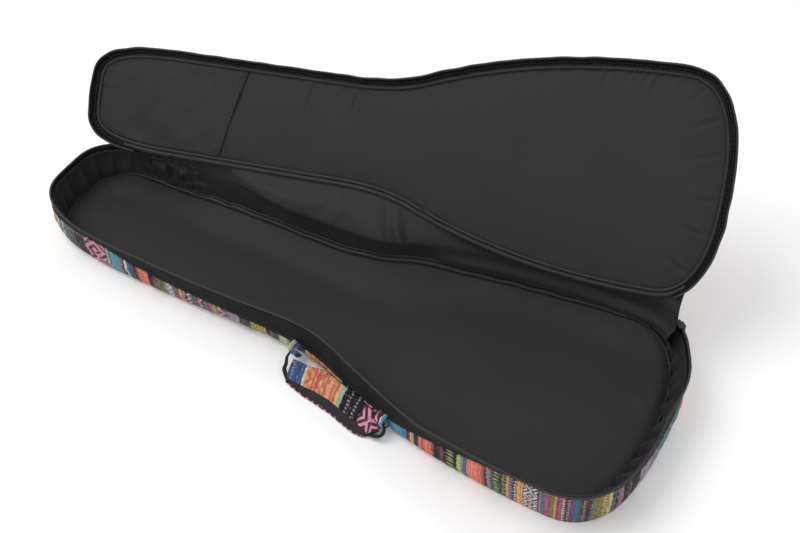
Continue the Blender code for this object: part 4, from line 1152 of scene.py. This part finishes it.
class GIGBAG_OT_back(bpy.types.Operator):
    """Makes the back panel of striped cloth, pressed in over the shoulder straps."""

    bl_idname = "gigbag.back"
    bl_label = "Back panel"

    def execute(self, context):
        base = wall_shape(EDGE_RUN)[0]
        steps = (0.0, 0.0004, 0.0012, 0.0024, 0.004, 0.007, 0.012)
        rows = spine_rows(EDGE_RUN, [base + step for step in steps], 40)
        heights = np.zeros(rows.shape[:2])
        edge_heights = (0.0032, 0.0018, 0.0008, 0.0002)
        heights[:len(edge_heights)] = np.array(edge_heights)[:, None]
        # Hollows over the straps and the yoke: path, depth, reach and width of the slope
        hollows = [(np.array(YOKE_LINE), STRAP_DEPTH, 0.041, 0.005)]
        for pad, start, foot in strap_paths():
            buckle = start + (foot - start) * 0.22
            hollows += [(pad, STRAP_DEPTH, 0.0205, 0.0045),
                        (np.array((start, buckle)), STRAP_DEPTH, 0.0205, 0.0045),
                        (np.array((start, foot)), 0.002, 0.0145, 0.004)]
        inside = rows[len(edge_heights):]
        hollow = np.max([depth * ease((reach - path_distance(inside, path)) / slope)
                         for path, depth, reach, slope in hollows], axis=0)
        heights[len(edge_heights):] += hollow
        grid = panel_grid(rows, heights, PANEL_INSIDE, PANEL_INSIDE)
        dress_panel("back_shell", grid, grid, "tray", "back_panel")
        return {"FINISHED"}


class GIGBAG_OT_side(bpy.types.Operator):
    """Makes the striped side wall and its gathered inner lining."""

    bl_idname = "gigbag.side"
    bl_label = "Side wall"

    def execute(self, context):
        run = zip_run()
        base, seam_height, seam_reach, _, _ = wall_shape(run)
        t = np.linspace(0.0, 1.0, 15)[None, :]
        bottom = CLOTH_BOTTOM
        height = bottom + (seam_height[:, None] - bottom) * t ** WALL_RISE
        fold = 0.0005 * ripple(run[:, None], height * 2.0, 0.030, 5) * bulge(t)
        inset = -cloth_reach(base, seam_reach, t) - fold
        piece = shell_piece("side_cloth", swept(run, inset, height),
                            swept(run, inset + 0.0014, height),
                            cloth=cloth_at(run[:, None], height * 1.05))
        dress(piece, "bag_stripes", "tray", ("side_gusset",))

        run = zip_run(0.014)
        base, seam_height, seam_reach, rim_height, rim_reach = wall_shape(run)
        t = np.linspace(0.0, 1.0, 17)[None, :]
        foot_inset = INNER_INSET - 0.0006
        foot_height = 0.0075
        top_height = rim_height - 0.0042
        share = (top_height - seam_height) / (rim_height - seam_height)
        top_inset = -(seam_reach + (rim_reach - seam_reach) * share) + 0.0027
        inset = foot_inset + (top_inset[:, None] - foot_inset) * ease(t * 1.15 - 0.15)
        height = foot_height + (top_height[:, None] - foot_height) * t
        head, tail = end_shares(run)
        gathers = edge_noise(run, 0.010, 12) + 0.5 * edge_noise(run, 0.006, 13)
        strength = 0.0001 + 0.0009 * head + 0.0004 * tail
        inset = inset + (gathers * strength)[:, None] * bulge(t) ** 0.6
        belly = (0.0010 + 0.0008 * head + 0.0030 * tail) * (0.8 + 0.7 * edge_noise(run, 0.024, 14))
        inset = inset + belly[:, None] * bulge((1 - t) ** 1.6)
        # The lining stays inside the cloth below the seam and inside the tape above it
        wall_t = np.clip((height - bottom) / (seam_height[:, None] - bottom), 0, 1)
        wall_t = wall_t ** (1 / WALL_RISE)
        rise = np.clip((height - seam_height[:, None]) / (rim_height - seam_height)[:, None], 0, 1)
        wall = cloth_reach(base, seam_reach, wall_t) + (rim_reach - seam_reach)[:, None] * rise
        inset = np.maximum(inset, 0.0030 - wall)
        liner = shell_piece("side_liner", swept(run, inset, height),
                            swept(run, inset - 0.0010, height))
        dress(liner, "bag_lining", "tray", ("side_lining", "side_padding"))
        return {"FINISHED"}


class GIGBAG_OT_lower_zip(bpy.types.Operator):
    """Makes the lower half of the zip: taped rim, coil and rows of stitching."""

    bl_idname = "gigbag.lower_zip"
    bl_label = "Lower zip"

    def execute(self, context):
        run = zip_run()
        _, seam_height, seam_reach, rim_height, rim_reach = wall_shape(run)
        t = np.linspace(0.0, 1.0, 9)[None, :]
        overlap = 0.0006
        height = ((seam_height - overlap)[:, None]
                  + (rim_height - seam_height + overlap)[:, None] * t)
        reach = ((seam_reach - overlap)[:, None]
                 + (rim_reach - seam_reach + 0.0001)[:, None] * t
                 + 0.0004 * bulge(t) * ripple(run, 0.0, 0.028, 15)[:, None])
        thick = 0.0012
        tape = shell_piece("rim_tape", swept(run, -reach, height),
                           swept(run, thick - reach, height))
        dress(tape, "bag_tape", "tray", ("lower_zip_tape",))

        top = edge_line(run, overlap - rim_reach, rim_height + 0.0013)
        coil = coil_piece("rim_coil", top, 0.0015, context.scene.gig_bag_sizes.coil_pitch)
        dress(coil, "bag_coil", "tray", ("lower_zip_chain",))

        normal = edge_at(run)[1]
        outward = lifted(-normal, 0.3)

        def tape_line(share, lift):
            """Path on the rim's tape at a share of its height, lifted off it."""
            return edge_line(run, -(seam_reach + (rim_reach - seam_reach) * share) + lift,
                             seam_height + (rim_height - seam_height) * share)

        stitch_row("rim_stitching_outside", tape_line(0.16, -0.0001), outward)
        part = (run > 0.060) & (run < 0.135)
        seam = edge_line(run, -seam_reach - 0.0002, seam_height - 0.0022)
        stitch_row("seam_stitching", seam[part], outward[part], finish="bag_cream_thread")
        below_top = 1 - 0.0040 / (rim_height - seam_height)
        stitch_row("rim_stitching_inside", tape_line(below_top, thick + 0.0001),
                   lifted(normal, 0.3))
        return {"FINISHED"}


def hinge_slack(run, t):
    """Folds of the slack cloth at the hinge, as a push towards the inside in metres."""
    along = run[:, None]
    x = edge_at(run)[0][:, :1]
    crumple = ease((-0.17 - x) / 0.06)
    loose = ease((0.05 - x) / 0.06)
    broad = 0.0022 * loose * ripple(along, t * 0.09, 0.075, 41)
    sharp = bell(ripple(along, t * 0.10, 0.034, 43) / 0.35) - 0.3
    fine = 0.0052 * crumple * sharp + 0.0012 * crumple * ripple(along, t * 0.08, 0.016, 44)
    slant = (x + 0.046 - 0.020 * (t - 0.5)) / 0.006
    fold = 0.0032 * (bell(slant - 1.2) - 0.5 * bell(slant))
    taut = ease((x - 0.02) / 0.06)
    ridges = 0.0011 * taut * np.sin(2 * math.pi * (1.6 * t + 3.0 * x) + 0.6)
    push = (broad + fine + fold + ridges) * bulge(t) ** 0.6

    middle = ease((x + 0.17) / 0.05) * ease((0.07 - x) / 0.06)
    brow = 0.46 + 0.10 * ease((-0.06 - x) / 0.10)
    shelf = 0.0080 * middle * ease((t - brow) / 0.08) * ease((1.0 - t) / 0.30)
    pleat_place = 0.022 + 0.030 * (0.75 - t)
    pleat = bell((x - pleat_place) / 0.0045) - 0.6 * bell((x - pleat_place + 0.010) / 0.0045)
    shelf = shelf + 0.0050 * pleat * ease((t - 0.45) / 0.12) * ease((0.97 - t) / 0.20)
    roll = 0.0072 * ease((x - 0.045) / 0.05) * bell((t - 0.32) / 0.10)
    outermost = -0.0004
    return np.maximum(push, outermost) + roll + np.maximum(shelf, outermost)


def hinge_skin(run, t, wall_inset, foot_height, lid_inset, lid_height, rounds):
    """Grid of cloth that climbs the hinge side's wall and crosses to the open lid's edge."""
    wall = swept(run, wall_inset, foot_height + (HINGE_GUSSET_TOP - foot_height) * t)
    top = wall[:, -1]
    edge = opened(edge_line(run, lid_inset, lid_height))
    bridge = top[:, None, :] + (edge - top)[:, None, :] * t[:, 1:, None]
    return smooth_columns(np.concatenate([wall, bridge], axis=1), rounds)


def dress_strip(piece, finish, nodes):
    """Dresses a strip of cloth that follows the tray and the lid, and bakes its placement into its
    points.
    """
    dress(piece, finish, None, nodes)
    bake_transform(piece)


class GIGBAG_OT_hinge(bpy.types.Operator):
    """Makes the cloth hinge: striped cloth outside and slack black cloth inside."""

    bl_idname = "gigbag.hinge"
    bl_label = "Cloth hinge"

    def execute(self, context):
        shorter = 0.005
        run = np.linspace(HINGE_START + shorter, HINGE_END - shorter, 260)
        t = np.linspace(0.0, 1.0, 13)[None, :]
        wall_inset = wall_shape(run)[0][:, None] * (1 - t) ** WALL_CURVE + 0.0035 * t
        skin = hinge_skin(run, t, wall_inset, CLOTH_BOTTOM, LID_EDGE_INSET + 0.0006,
                          LID_TOP - 0.0022, 8)
        inside = lifted(edge_at(run)[1], 0.0)[:, None, :]
        cloth = cloth_at(run[:, None], np.linspace(0.0, 0.09, skin.shape[1])[None, :])
        outer = shell_piece("hinge_cloth", skin, skin + inside * 0.0008, cloth=cloth)
        dress_strip(outer, "bag_stripes", ("hinge_gusset",))

        run = np.linspace(HINGE_START - 0.013, HINGE_END + 0.002, 620)
        t = np.linspace(0.0, 1.0, 19)[None, :]
        wall_inset = INNER_INSET - 0.0030 + 0.0036 * t
        skin = hinge_skin(run, t, wall_inset, 0.0150, LID_SEAM_INSET - 0.0034,
                          LINING_CLOSED - 0.0004, 10)
        normal = edge_at(run)[1]
        share = np.linspace(0.0, 1.0, skin.shape[1])[None, :]
        skin = skin + lifted(normal, 0.5)[:, None, :] * hinge_slack(run, share)[..., None]
        inner = shell_piece("hinge_liner", skin, skin - lifted(normal, 0.0)[:, None, :] * 0.0009)
        dress_strip(inner, "bag_lining", ("hinge_lining", "hinge_web"))
        return {"FINISHED"}


def lining_height(points, depth, crown):
    """Height of the closed lid's lining at flat points; it swells down into the bag."""
    inner = np.clip(depth - LID_SEAM_INSET, 0, None)
    swell = crown * (1 - np.exp(-inner / 0.013))
    soft = 0.00025 * ripple(points[..., 0], points[..., 1], 0.080, 14) * ease(inner / 0.012)
    creases = crease_depth(points, LID_CREASES) * ease((inner + 0.001) / 0.003)
    return LINING_CLOSED - swell - soft + creases


def lid_outside(depth):
    """Height of the closed lid's outside, by distance from the outline."""
    return LID_TOP - 0.0010 + 0.0016 * (1 - np.exp(-(depth - LID_EDGE_INSET) / 0.02))


class GIGBAG_OT_lid(bpy.types.Operator):
    """Makes the lid's padded lining, its piping and its striped outside."""

    bl_idname = "gigbag.lid"
    bl_label = "Lid"

    def execute(self, context):
        sizes = context.scene.gig_bag_sizes
        steps = (0.0009, 0.0018, 0.003, 0.0045, 0.006, 0.008, 0.0105, 0.0135, 0.017, 0.021, 0.026)
        rows = spine_rows(EDGE_RUN, LID_EDGE_INSET + np.array(steps), 24)
        depth = depth_of(rows)
        inner = np.clip(depth - LID_SEAM_INSET, 0, None)
        seam = ease((depth - LID_SEAM_INSET) / 0.002)
        heights = (lining_height(rows, depth, sizes.lid_crown)
                   + puckers(EDGE_RUN, inner, (0.5, 0.9, 1.6), 0.011, 0.008, 23) * seam)
        grid = opened(panel_grid(rows, heights, LID_BACK, LID_BACK))
        dress(grid_piece("lid_pad", grid, weld=SPINE_WELD), "bag_lining", "lid",
              ("lid_lining", "lid_padding"))

        drop = sizes.piping_radius * 0.75 + 0.0003 * edge_noise(EDGE_RUN, 0.03, 33)
        path = opened(edge_line(EDGE_RUN, LID_SEAM_INSET, LINING_CLOSED - drop))
        piping = tube_piece("lid_piping", path, sizes.piping_radius, up=LID_INSIDE)
        dress(piping, "bag_piping", "lid", ("lid_binding",))
        far = np.linspace(HINGE_START - 0.012, HINGE_END + 0.012, 420)
        path = opened(edge_line(far, LID_EDGE_INSET + 0.0008, LINING_CLOSED - 0.0008))
        roll = tube_piece("lid_hinge_roll", path, sizes.piping_radius * 1.4, closed=False,
                          up=LID_INSIDE)
        dress(roll, "bag_piping", "lid")

        steps = (0.0, 0.0006, 0.0018, 0.0036, 0.006, 0.010, 0.016)
        rows = spine_rows(EDGE_RUN, LID_EDGE_INSET - 0.0004 + np.array(steps), 30)
        depth = depth_of(rows)
        soft = 0.0004 * ripple(rows[..., 0], rows[..., 1], 0.045, 51)
        heights = lid_outside(depth) + soft * ease((depth - 0.02) / 0.01)
        heights[0] = LID_TOP - 0.0022
        heights[1] = LID_TOP - 0.0010
        grid = panel_grid(rows, heights, LID_BACK + 0.0003, LID_BACK - 0.0001)
        dress_panel("lid_shell", grid, opened(grid), "lid", "lid_panel")
        return {"FINISHED"}


class GIGBAG_OT_upper_zip(bpy.types.Operator):
    """Makes the upper half of the zip: the lid's rolled rim, its coil and its stitching."""

    bl_idname = "gigbag.upper_zip"
    bl_label = "Upper zip"

    def execute(self, context):
        run = np.linspace(HINGE_END - LENGTH - 0.004, HINGE_START + 0.004, 900)
        wave = 0.00015 * edge_noise(run, 0.035, 61)
        section = np.array(RIM_SECTION)
        rows = opened(swept(run, section[:, 0] + wave[:, None], section[:, 1]))
        dress(grid_piece("lid_rim_tape", rows, caps=True), "bag_tape", "lid", ("upper_zip_tape",))
        coil_radius = 0.00135
        path = opened(edge_line(run, 0.0071 + wave, section[0, 1] - coil_radius))
        coil = coil_piece("lid_rim_coil", path, coil_radius,
                          context.scene.gig_bag_sizes.coil_pitch)
        dress(coil, "bag_coil", "lid", ("upper_zip_chain",))
        inward = lifted(edge_at(run)[1], -0.8) @ LID_TURN.T
        stitch_row("lid_rim_stitching", opened(edge_line(run, 0.0103 + wave, 0.0731)), inward,
                   "lid")
        return {"FINISHED"}


def across_inset(place, side, inset):
    """Flat points at places from the head end and shares of the half width inside an inset."""
    point, normal = edge_at(RUN[:len(RUN) // 2])
    moved = point + normal * inset
    order = np.argsort(moved[:, 0])
    x = place - BAG_LENGTH / 2
    width = np.interp(x, moved[order, 0], -moved[order, 1])
    return np.stack(np.broadcast_arrays(x, width * side), axis=-1)


def patch_height(flat, depth, crown):
    """Height of the patch's cloth on the closed lid, and how far it billows from it."""
    billow = 0.0006 * ripple(flat[..., 0], flat[..., 1], 0.050, 28)
    return lining_height(flat, depth, crown), billow * ease((depth - PATCH_INSET) / 0.015)


class GIGBAG_OT_patch(bpy.types.Operator):
    """Makes the coarse patch under the headstock, with its slanted double seam."""

    bl_idname = "gigbag.patch"
    bl_label = "Headstock patch"

    def execute(self, context):
        crown = context.scene.gig_bag_sizes.lid_crown
        turn = np.linspace(0.0, 1.0, 60)[:, None]
        side = np.linspace(-1.0, 1.0, 61)[None, :]
        start = PATCH_INSET + 0.0006
        share = (1 - np.cos(turn * math.pi / 2)) ** 0.9
        flat = across_inset(start + (PATCH_END - PATCH_SLANT * side - start) * share, side,
                            PATCH_INSET)
        depth = depth_of(flat)
        inner = np.clip(depth - PATCH_INSET, 0, None)
        around = np.arctan2(flat[..., 1], flat[..., 0] + 0.25) * 0.06
        pull = bell(ripple(around, 0.0, 0.020, 27) / 0.35) - 0.3
        height, billow = patch_height(flat, depth, crown)
        top = height - 0.0014 + 0.0007 * pull * np.exp(-inner / 0.010) - billow
        piece = shell_piece("neck_patch", opened(lifted(flat, top)),
                            opened(lifted(flat, top + 0.0011)), weld=0.0001)
        dress(piece, "bag_patch", "lid", ("headstock_patch",))
        side = np.linspace(-0.98, 0.98, 60)
        for index, back in enumerate((0.0016, 0.0072), start=1):
            flat = across_inset(PATCH_END - PATCH_SLANT * side - back, side, PATCH_INSET)
            height, billow = patch_height(flat, depth_of(flat), crown)
            stitch_row("patch_stitching_%d" % index, opened(lifted(flat, height - 0.0015 - billow)),
                       LID_INSIDE, "lid")
        return {"FINISHED"}


class GIGBAG_OT_pocket(bpy.types.Operator):
    """Makes the flat pocket on the outside of the lid, with its zip."""

    bl_idname = "gigbag.pocket"
    bl_label = "Lid pocket"

    def execute(self, context):
        side = np.linspace(-1.0, 1.0, 61)[None, :]
        share = np.sin(np.linspace(0.0, 1.0, 60)[:, None] * math.pi / 2)
        last = BAG_LENGTH - POCKET_INSET - 0.0004
        flat = across_inset(POCKET_START + (last - POCKET_START) * share, side, POCKET_INSET)
        depth = depth_of(flat)
        border = np.minimum(depth - POCKET_INSET, flat[..., 0] - POCKET_START + BAG_LENGTH / 2)
        rise = (0.0044 * ease(border / 0.007 + 0.25)
                + 0.0003 * ripple(flat[..., 0], flat[..., 1], 0.04, 71))
        base = lid_outside(depth) + 0.0002
        piece = shell_piece("pocket_front", opened(lifted(flat, base + rise)),
                            opened(lifted(flat, base)),
                            cloth=flat + (BAG_LENGTH / 2 + 0.004, 0.203), weld=0.0001)
        dress(piece, "bag_stripes", "lid", ("pocket_panel",))

        def zip_line(offset, rise, count):
            """Path along the pocket's zip, at an offset across it and a rise above the lid."""
            line = np.linspace(-POCKET_ZIP_HALF, POCKET_ZIP_HALF, count)
            path = np.stack([np.full(count, POCKET_ZIP_X + offset), line], axis=1)
            return opened(lifted(path, LID_TOP + rise))

        coil = coil_piece("pocket_coil", zip_line(0.0, 0.0026, 200), 0.0022,
                          context.scene.gig_bag_sizes.coil_pitch, up=-LID_INSIDE)
        dress(coil, "bag_coil", "lid", ("pocket_zip_chain",))
        rows = np.stack([zip_line(reach, 0.0003 + rise, 97)
                         for reach, rise in POCKET_TAPE_SECTION], axis=1)
        dress(grid_piece("pocket_tape", rows, caps=True), "bag_tape", "lid", ("pocket_zip_tape",))
        for row_name, offset in (("a", -0.0086), ("b", 0.0086)):
            stitch_row("pocket_stitching_" + row_name, zip_line(offset, 0.0015, 97), -LID_INSIDE,
                       "lid")
        return {"FINISHED"}


class GIGBAG_OT_handle(bpy.types.Operator):
    """Makes the handle's folded flap, its strap ends and its sewn tabs."""

    bl_idname = "gigbag.handle"
    bl_label = "Handle"

    def execute(self, context):
        middle, axis = joint_named("handle_swing")
        along = unit(-axis)
        up = np.array((0.0, 0.0, 1.0))
        across = np.cross(up, along)

        def placed(local):
            """Points of the handle's own axes: along it, towards the wall and up."""
            return middle + local @ np.stack([along, across, up])

        share = np.linspace(0.0, 1.0, 61)
        values = [table_value(FLAP_SHAPE, share, column) / 1000 for column in range(1, 7)]
        fold = np.stack([values[0], WALL_GAP - values[1], values[2] - middle[2]], axis=1)
        free = np.stack([values[3], WALL_GAP - values[4], values[5] - middle[2]], axis=1)
        v = np.linspace(0.0, 1.0, 13)
        arch = bulge(v)[None, :, None]
        outward = np.array((0.0, -0.6, 0.8))

        def between(first, second, shares):
            """Rows of points between two edges, at shares of the way across."""
            return first[:, None, :] + (second - first)[:, None, :] * shares[None, :, None]

        face = between(fold, free, v) + outward * 0.0016 * arch
        run = FLAP_CLOTH[0] + share[:, None] * FLAP_CLOTH[1]
        flap = shell_piece("grip_wrap", placed(face), placed(face - outward * FLAP_THICKNESS),
                           cloth=cloth_at(run, v[None, :] * 0.022 + 0.003))
        dress(flap, "bag_stripes", "handle", ("handle_grip",))
        binding = tube_piece("grip_binding", placed(free - outward * FLAP_THICKNESS * 0.5),
                             FLAP_THICKNESS * 0.6, 8, closed=False)
        dress(binding, "bag_webbing", "handle")

        bow = bulge(share) ** 0.8
        lip = free + np.stack([0.005 * bow, -FLAP_MOUTH * bow - 0.0006, np.zeros_like(bow)], axis=1)
        lip[:, 2] += (0.0022 - middle[2] - lip[:, 2]) * np.sqrt(bow)
        root = fold + np.array((0.0, -0.0012, -0.0030))
        sag = -up * 0.0004 * arch
        lower = between(root, lip, v) + sag
        lower_cloth = shell_piece("grip_lower", placed(lower), placed(lower - up * 0.0011),
                                  cloth=cloth_at(v[None, :] * 0.024 + 0.4197, run))
        dress(lower_cloth, "bag_stripes", "handle")
        inner = between(root, lip, v * 0.93) + sag
        lining = shell_piece("grip_lining", placed(inner + up * 0.0009),
                             placed(inner + up * 0.0001))
        dress(lining, "bag_patch", "handle")

        # Strap ends, by knots between the tab and the flap's corner, and the tabs round them
        turn = np.linspace(-1.0, 1.0, 17)[:, None] * math.pi / 2
        reach = np.cos(turn) ** 0.8
        rise = np.sin(turn)
        wide = np.array((-1.0, -0.9, 0.9, 1.0)) * 0.0046
        columns = np.concatenate([wide, wide[::-1]])[None, :]
        layer = np.repeat((0.0, 1.0), 4)[None, :]
        out = WALL_GAP - 0.0012 - reach * 0.0078 - layer * 0.0012 * (0.3 + 0.7 * reach)
        tall = rise * np.where(rise < 0, 0.0098, 0.0056) + layer * 0.0006 * rise
        for name, sign, corner, knots in (
                ("head", -1, free[0], ((-0.0586, -0.0070, -0.0035), (-0.0560, -0.0115, -0.0085),
                                       (-0.0530, -0.0165, -0.0112))),
                ("tail", 1, free[-1], ((0.0645, -0.0010, -0.0050), (0.0640, -0.0070, -0.0105)))):
            path = curve_through(((sign * TAB_OFFSET, 0.0006, 0.0010), *knots,
                                  corner + (-sign * 0.003, 0.001, 0.0)), 36)
            swell = 0.0012 + 0.0008 * ease(np.linspace(0.0, 1.3, len(path)))
            strap = tube_piece("handle_strap_" + name, placed(path), swell, closed=False,
                               squeeze=0.5)
            dress(strap, "bag_webbing", "handle", ("handle_webbing",))
            rows = np.stack(np.broadcast_arrays(sign * TAB_OFFSET + columns, out, tall), axis=2)
            stripe = (rows[..., 0] + TAB_OFFSET) / (2 * TAB_OFFSET)
            cloth = cloth_at(FLAP_CLOTH[0] + stripe * FLAP_CLOTH[1], 0.018 - rows[..., 2])
            tab = grid_piece("handle_tab_" + name, placed(rows), caps=True, cloth=cloth)
            dress(tab, "bag_stripes", "tray", ("handle_anchor_" + name,))
            for line_name, height in (("top", 0.0046), ("low", -0.0080)):
                line = np.array([(sign * TAB_OFFSET + aside, 0.0003, height)
                                 for aside in np.linspace(-0.0038, 0.0038, 8)])
                stitch_row("tab_stitching_%s_%s" % (name, line_name), placed(line), -across)
        return {"FINISHED"}


def path_normals(path):
    """Flat sideways directions along a flat path."""
    along = unit(np.gradient(path, axis=0))
    return np.stack([along[:, 1], -along[:, 0]], axis=1)


def flat_strap(name, path, half_width, section):
    """Strap along a flat path, from a section of (share of the half width, height)."""
    rows = np.stack([lifted(path + path_normals(path) * half_width * share, height)
                     for share, height in section], axis=1)
    return grid_piece(name, rows, caps=True)


class GIGBAG_OT_straps(bpy.types.Operator):
    """Makes the shoulder straps' padded halves, webbing and yoke under the back."""

    bl_idname = "gigbag.straps"
    bl_label = "Shoulder straps"

    def execute(self, context):
        half_width = STRAP_PAD_WIDTH / 2
        for side_name, (pad, start, foot) in zip(("left", "right"), strap_paths()):
            piece = flat_strap("shoulder_pad_" + side_name, pad, half_width, PAD_SECTION)
            dress(piece, "bag_webbing", "tray", ("strap_pad_" + side_name,))
            for edge_name, offset in (("a", -0.8), ("b", 0.8)):
                line = lifted(pad + path_normals(pad) * half_width * offset, 0.00040)
                stitch_row("shoulder_stitching_%s_%s" % (side_name, edge_name), line,
                           (0.0, 0.0, -1.0))
            first = start + unit(foot - start) * WEBBING_START
            webbing = first + (foot - first) * np.linspace(0.0, 1.0, 30)[:, None]
            piece = flat_strap("strap_tape_" + side_name, webbing, STRAP_WEBBING_WIDTH / 2,
                               WEBBING_SECTION)
            dress(piece, "bag_webbing", "tray", ("strap_webbing_" + side_name,))

        low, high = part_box("strap_yoke")
        place = np.linspace(0.0, 1.0, 21)[:, None]
        side = np.linspace(-1.0, 1.0, 41)[None, :]
        clip = 1 - 0.33 * (1 - ease(place / 0.36))
        flat = np.stack(np.broadcast_arrays(low[0] + (high[0] - low[0]) * place,
                                            side * clip * high[1]), axis=-1)
        border = np.minimum(np.minimum(place, 1 - place) * 3.0, (1 - np.abs(side)) * 4.0)
        bottom = 0.0003 + 0.0010 * (1 - ease(border * 3.0 + 0.1))
        yoke = shell_piece("shoulder_yoke", lifted(flat, bottom), lifted(flat, high[2] - 0.0002))
        dress(yoke, "bag_webbing", "tray", ("strap_yoke",))
        return {"FINISHED"}


class GIGBAG_OT_hardware(bpy.types.Operator):
    """Gives the zip sliders, pull tabs and buckles their metal and plastic."""

    bl_idname = "gigbag.hardware"
    bl_label = "Sliders and buckles"

    def execute(self, context):
        for finish, names in HARDWARE.items():
            for name in names:
                mesh = frame["nodes"][name].data
                mesh.materials.clear()
                mesh.materials.append(finish_named(finish))
        return {"FINISHED"}


class GIGBAG_OT_stage(bpy.types.Operator):
    """Makes the pale floor, the soft lights and the camera."""

    bl_idname = "gigbag.stage"
    bl_label = "Stage"

    def execute(self, context):
        scene = context.scene
        mesh = bpy.data.meshes.new("studio_floor")
        reach = 6.0
        corners = [(x * reach, y * reach, 0.0) for x, y in ((-1, -1), (1, -1), (1, 1), (-1, 1))]
        mesh.from_pydata(corners, [], [(0, 1, 2, 3)])
        link_mesh("studio_floor", mesh, smooth=False)
        material, nodes, shader = blank_material("studio_paper", 0.9, specular=0.05)
        colour = tuple(scene.gig_bag_colours.floor)
        grain = nodes.noise(nodes.place(), 40.0)
        paper = nodes.mix(grain, scaled(colour, 0.995), colour)
        nodes.join(nodes.mix(nodes.seen(), paper, WHITE), shader.inputs["Base Color"])
        mesh.materials.append(material)

        world = bpy.data.worlds.new("studio_world")
        scene.world = world
        world.use_nodes = True
        background = world.node_tree.nodes["Background"]
        background.inputs["Color"].default_value = (*WHITE, 1.0)
        sky = Nodes(world.node_tree)
        strength = sky.maths("MULTIPLY_ADD", sky.seen(), 1.0 - WORLD_STRENGTH, WORLD_STRENGTH)
        sky.join(strength, background.inputs["Strength"])

        for name, place, size, power in LAMPS:
            lamp = bpy.data.lights.new(name, "AREA")
            lamp.shape = "DISK"
            lamp.size = size
            lamp.energy = power
            holder = bpy.data.objects.new(name, lamp)
            holder.location = place
            aim = Vector(LAMP_TARGET) - Vector(place)
            holder.rotation_euler = aim.to_track_quat("-Z", "Y").to_euler()
            scene.collection.objects.link(holder)

        azimuth, elevation, roll = [math.radians(angle) for angle in (
            CAMERA_AZIMUTH_DEG, CAMERA_ELEVATION_DEG, CAMERA_ROLL_DEG)]
        back = Vector((math.sin(azimuth) * math.cos(elevation),
                       -math.cos(azimuth) * math.cos(elevation), math.sin(elevation)))
        right = Vector((math.cos(azimuth), math.sin(azimuth), 0.0))
        upward = back.cross(right)
        turned_right = right * math.cos(roll) + upward * math.sin(roll)
        turned_up = upward * math.cos(roll) - right * math.sin(roll)
        data = bpy.data.cameras.new("camera")
        data.sensor_width = 36.0
        data.lens = CAMERA_FOCAL_PIXELS * data.sensor_width / IMAGE_WIDTH
        camera = bpy.data.objects.new("camera", data)
        turn = Matrix((turned_right, turned_up, back)).transposed().to_4x4()
        target = Vector(CAMERA_TARGET)
        camera.matrix_world = Matrix.Translation(target + back * CAMERA_DISTANCE) @ turn
        scene.collection.objects.link(camera)
        scene.camera = camera
        scene.view_settings.view_transform = "Standard"
        return {"FINISHED"}


PIECES = (
    GIGBAG_OT_floor, GIGBAG_OT_back, GIGBAG_OT_side, GIGBAG_OT_lower_zip, GIGBAG_OT_hinge,
    GIGBAG_OT_lid, GIGBAG_OT_upper_zip, GIGBAG_OT_patch, GIGBAG_OT_pocket, GIGBAG_OT_handle,
    GIGBAG_OT_straps, GIGBAG_OT_hardware, GIGBAG_OT_stage,
)


class GIGBAG_PT_panel(bpy.types.Panel):
    """Panel that lists the bag's sizes, colours and pieces."""

    bl_idname = "GIGBAG_PT_panel"
    bl_label = "Gig bag"
    bl_space_type = "VIEW_3D"
    bl_region_type = "UI"
    bl_category = "Gig bag"

    def draw(self, context):
        layout = self.layout
        for group in (context.scene.gig_bag_sizes, context.scene.gig_bag_colours):
            for name in group.__annotations__:
                layout.prop(group, name)
        for operator in PIECES:
            layout.operator(operator.bl_idname)


CLASSES = (GigBagSizes, GigBagColours, *PIECES, GIGBAG_PT_panel)


def register():
    """Registers the classes and hangs both groups of settings on the scene."""
    for item in CLASSES:
        bpy.utils.register_class(item)
    bpy.types.Scene.gig_bag_sizes = bpy.props.PointerProperty(type=GigBagSizes)
    bpy.types.Scene.gig_bag_colours = bpy.props.PointerProperty(type=GigBagColours)


def unregister():
    """Takes the settings and the classes away again."""
    del bpy.types.Scene.gig_bag_colours
    del bpy.types.Scene.gig_bag_sizes
    for item in reversed(CLASSES):
        bpy.utils.unregister_class(item)


def main():
    """Builds every piece in order."""
    register()
    for operator in PIECES:
        group, name = operator.bl_idname.split(".")
        getattr(getattr(bpy.ops, group), name)()


if __name__ == "__main__":
    main()
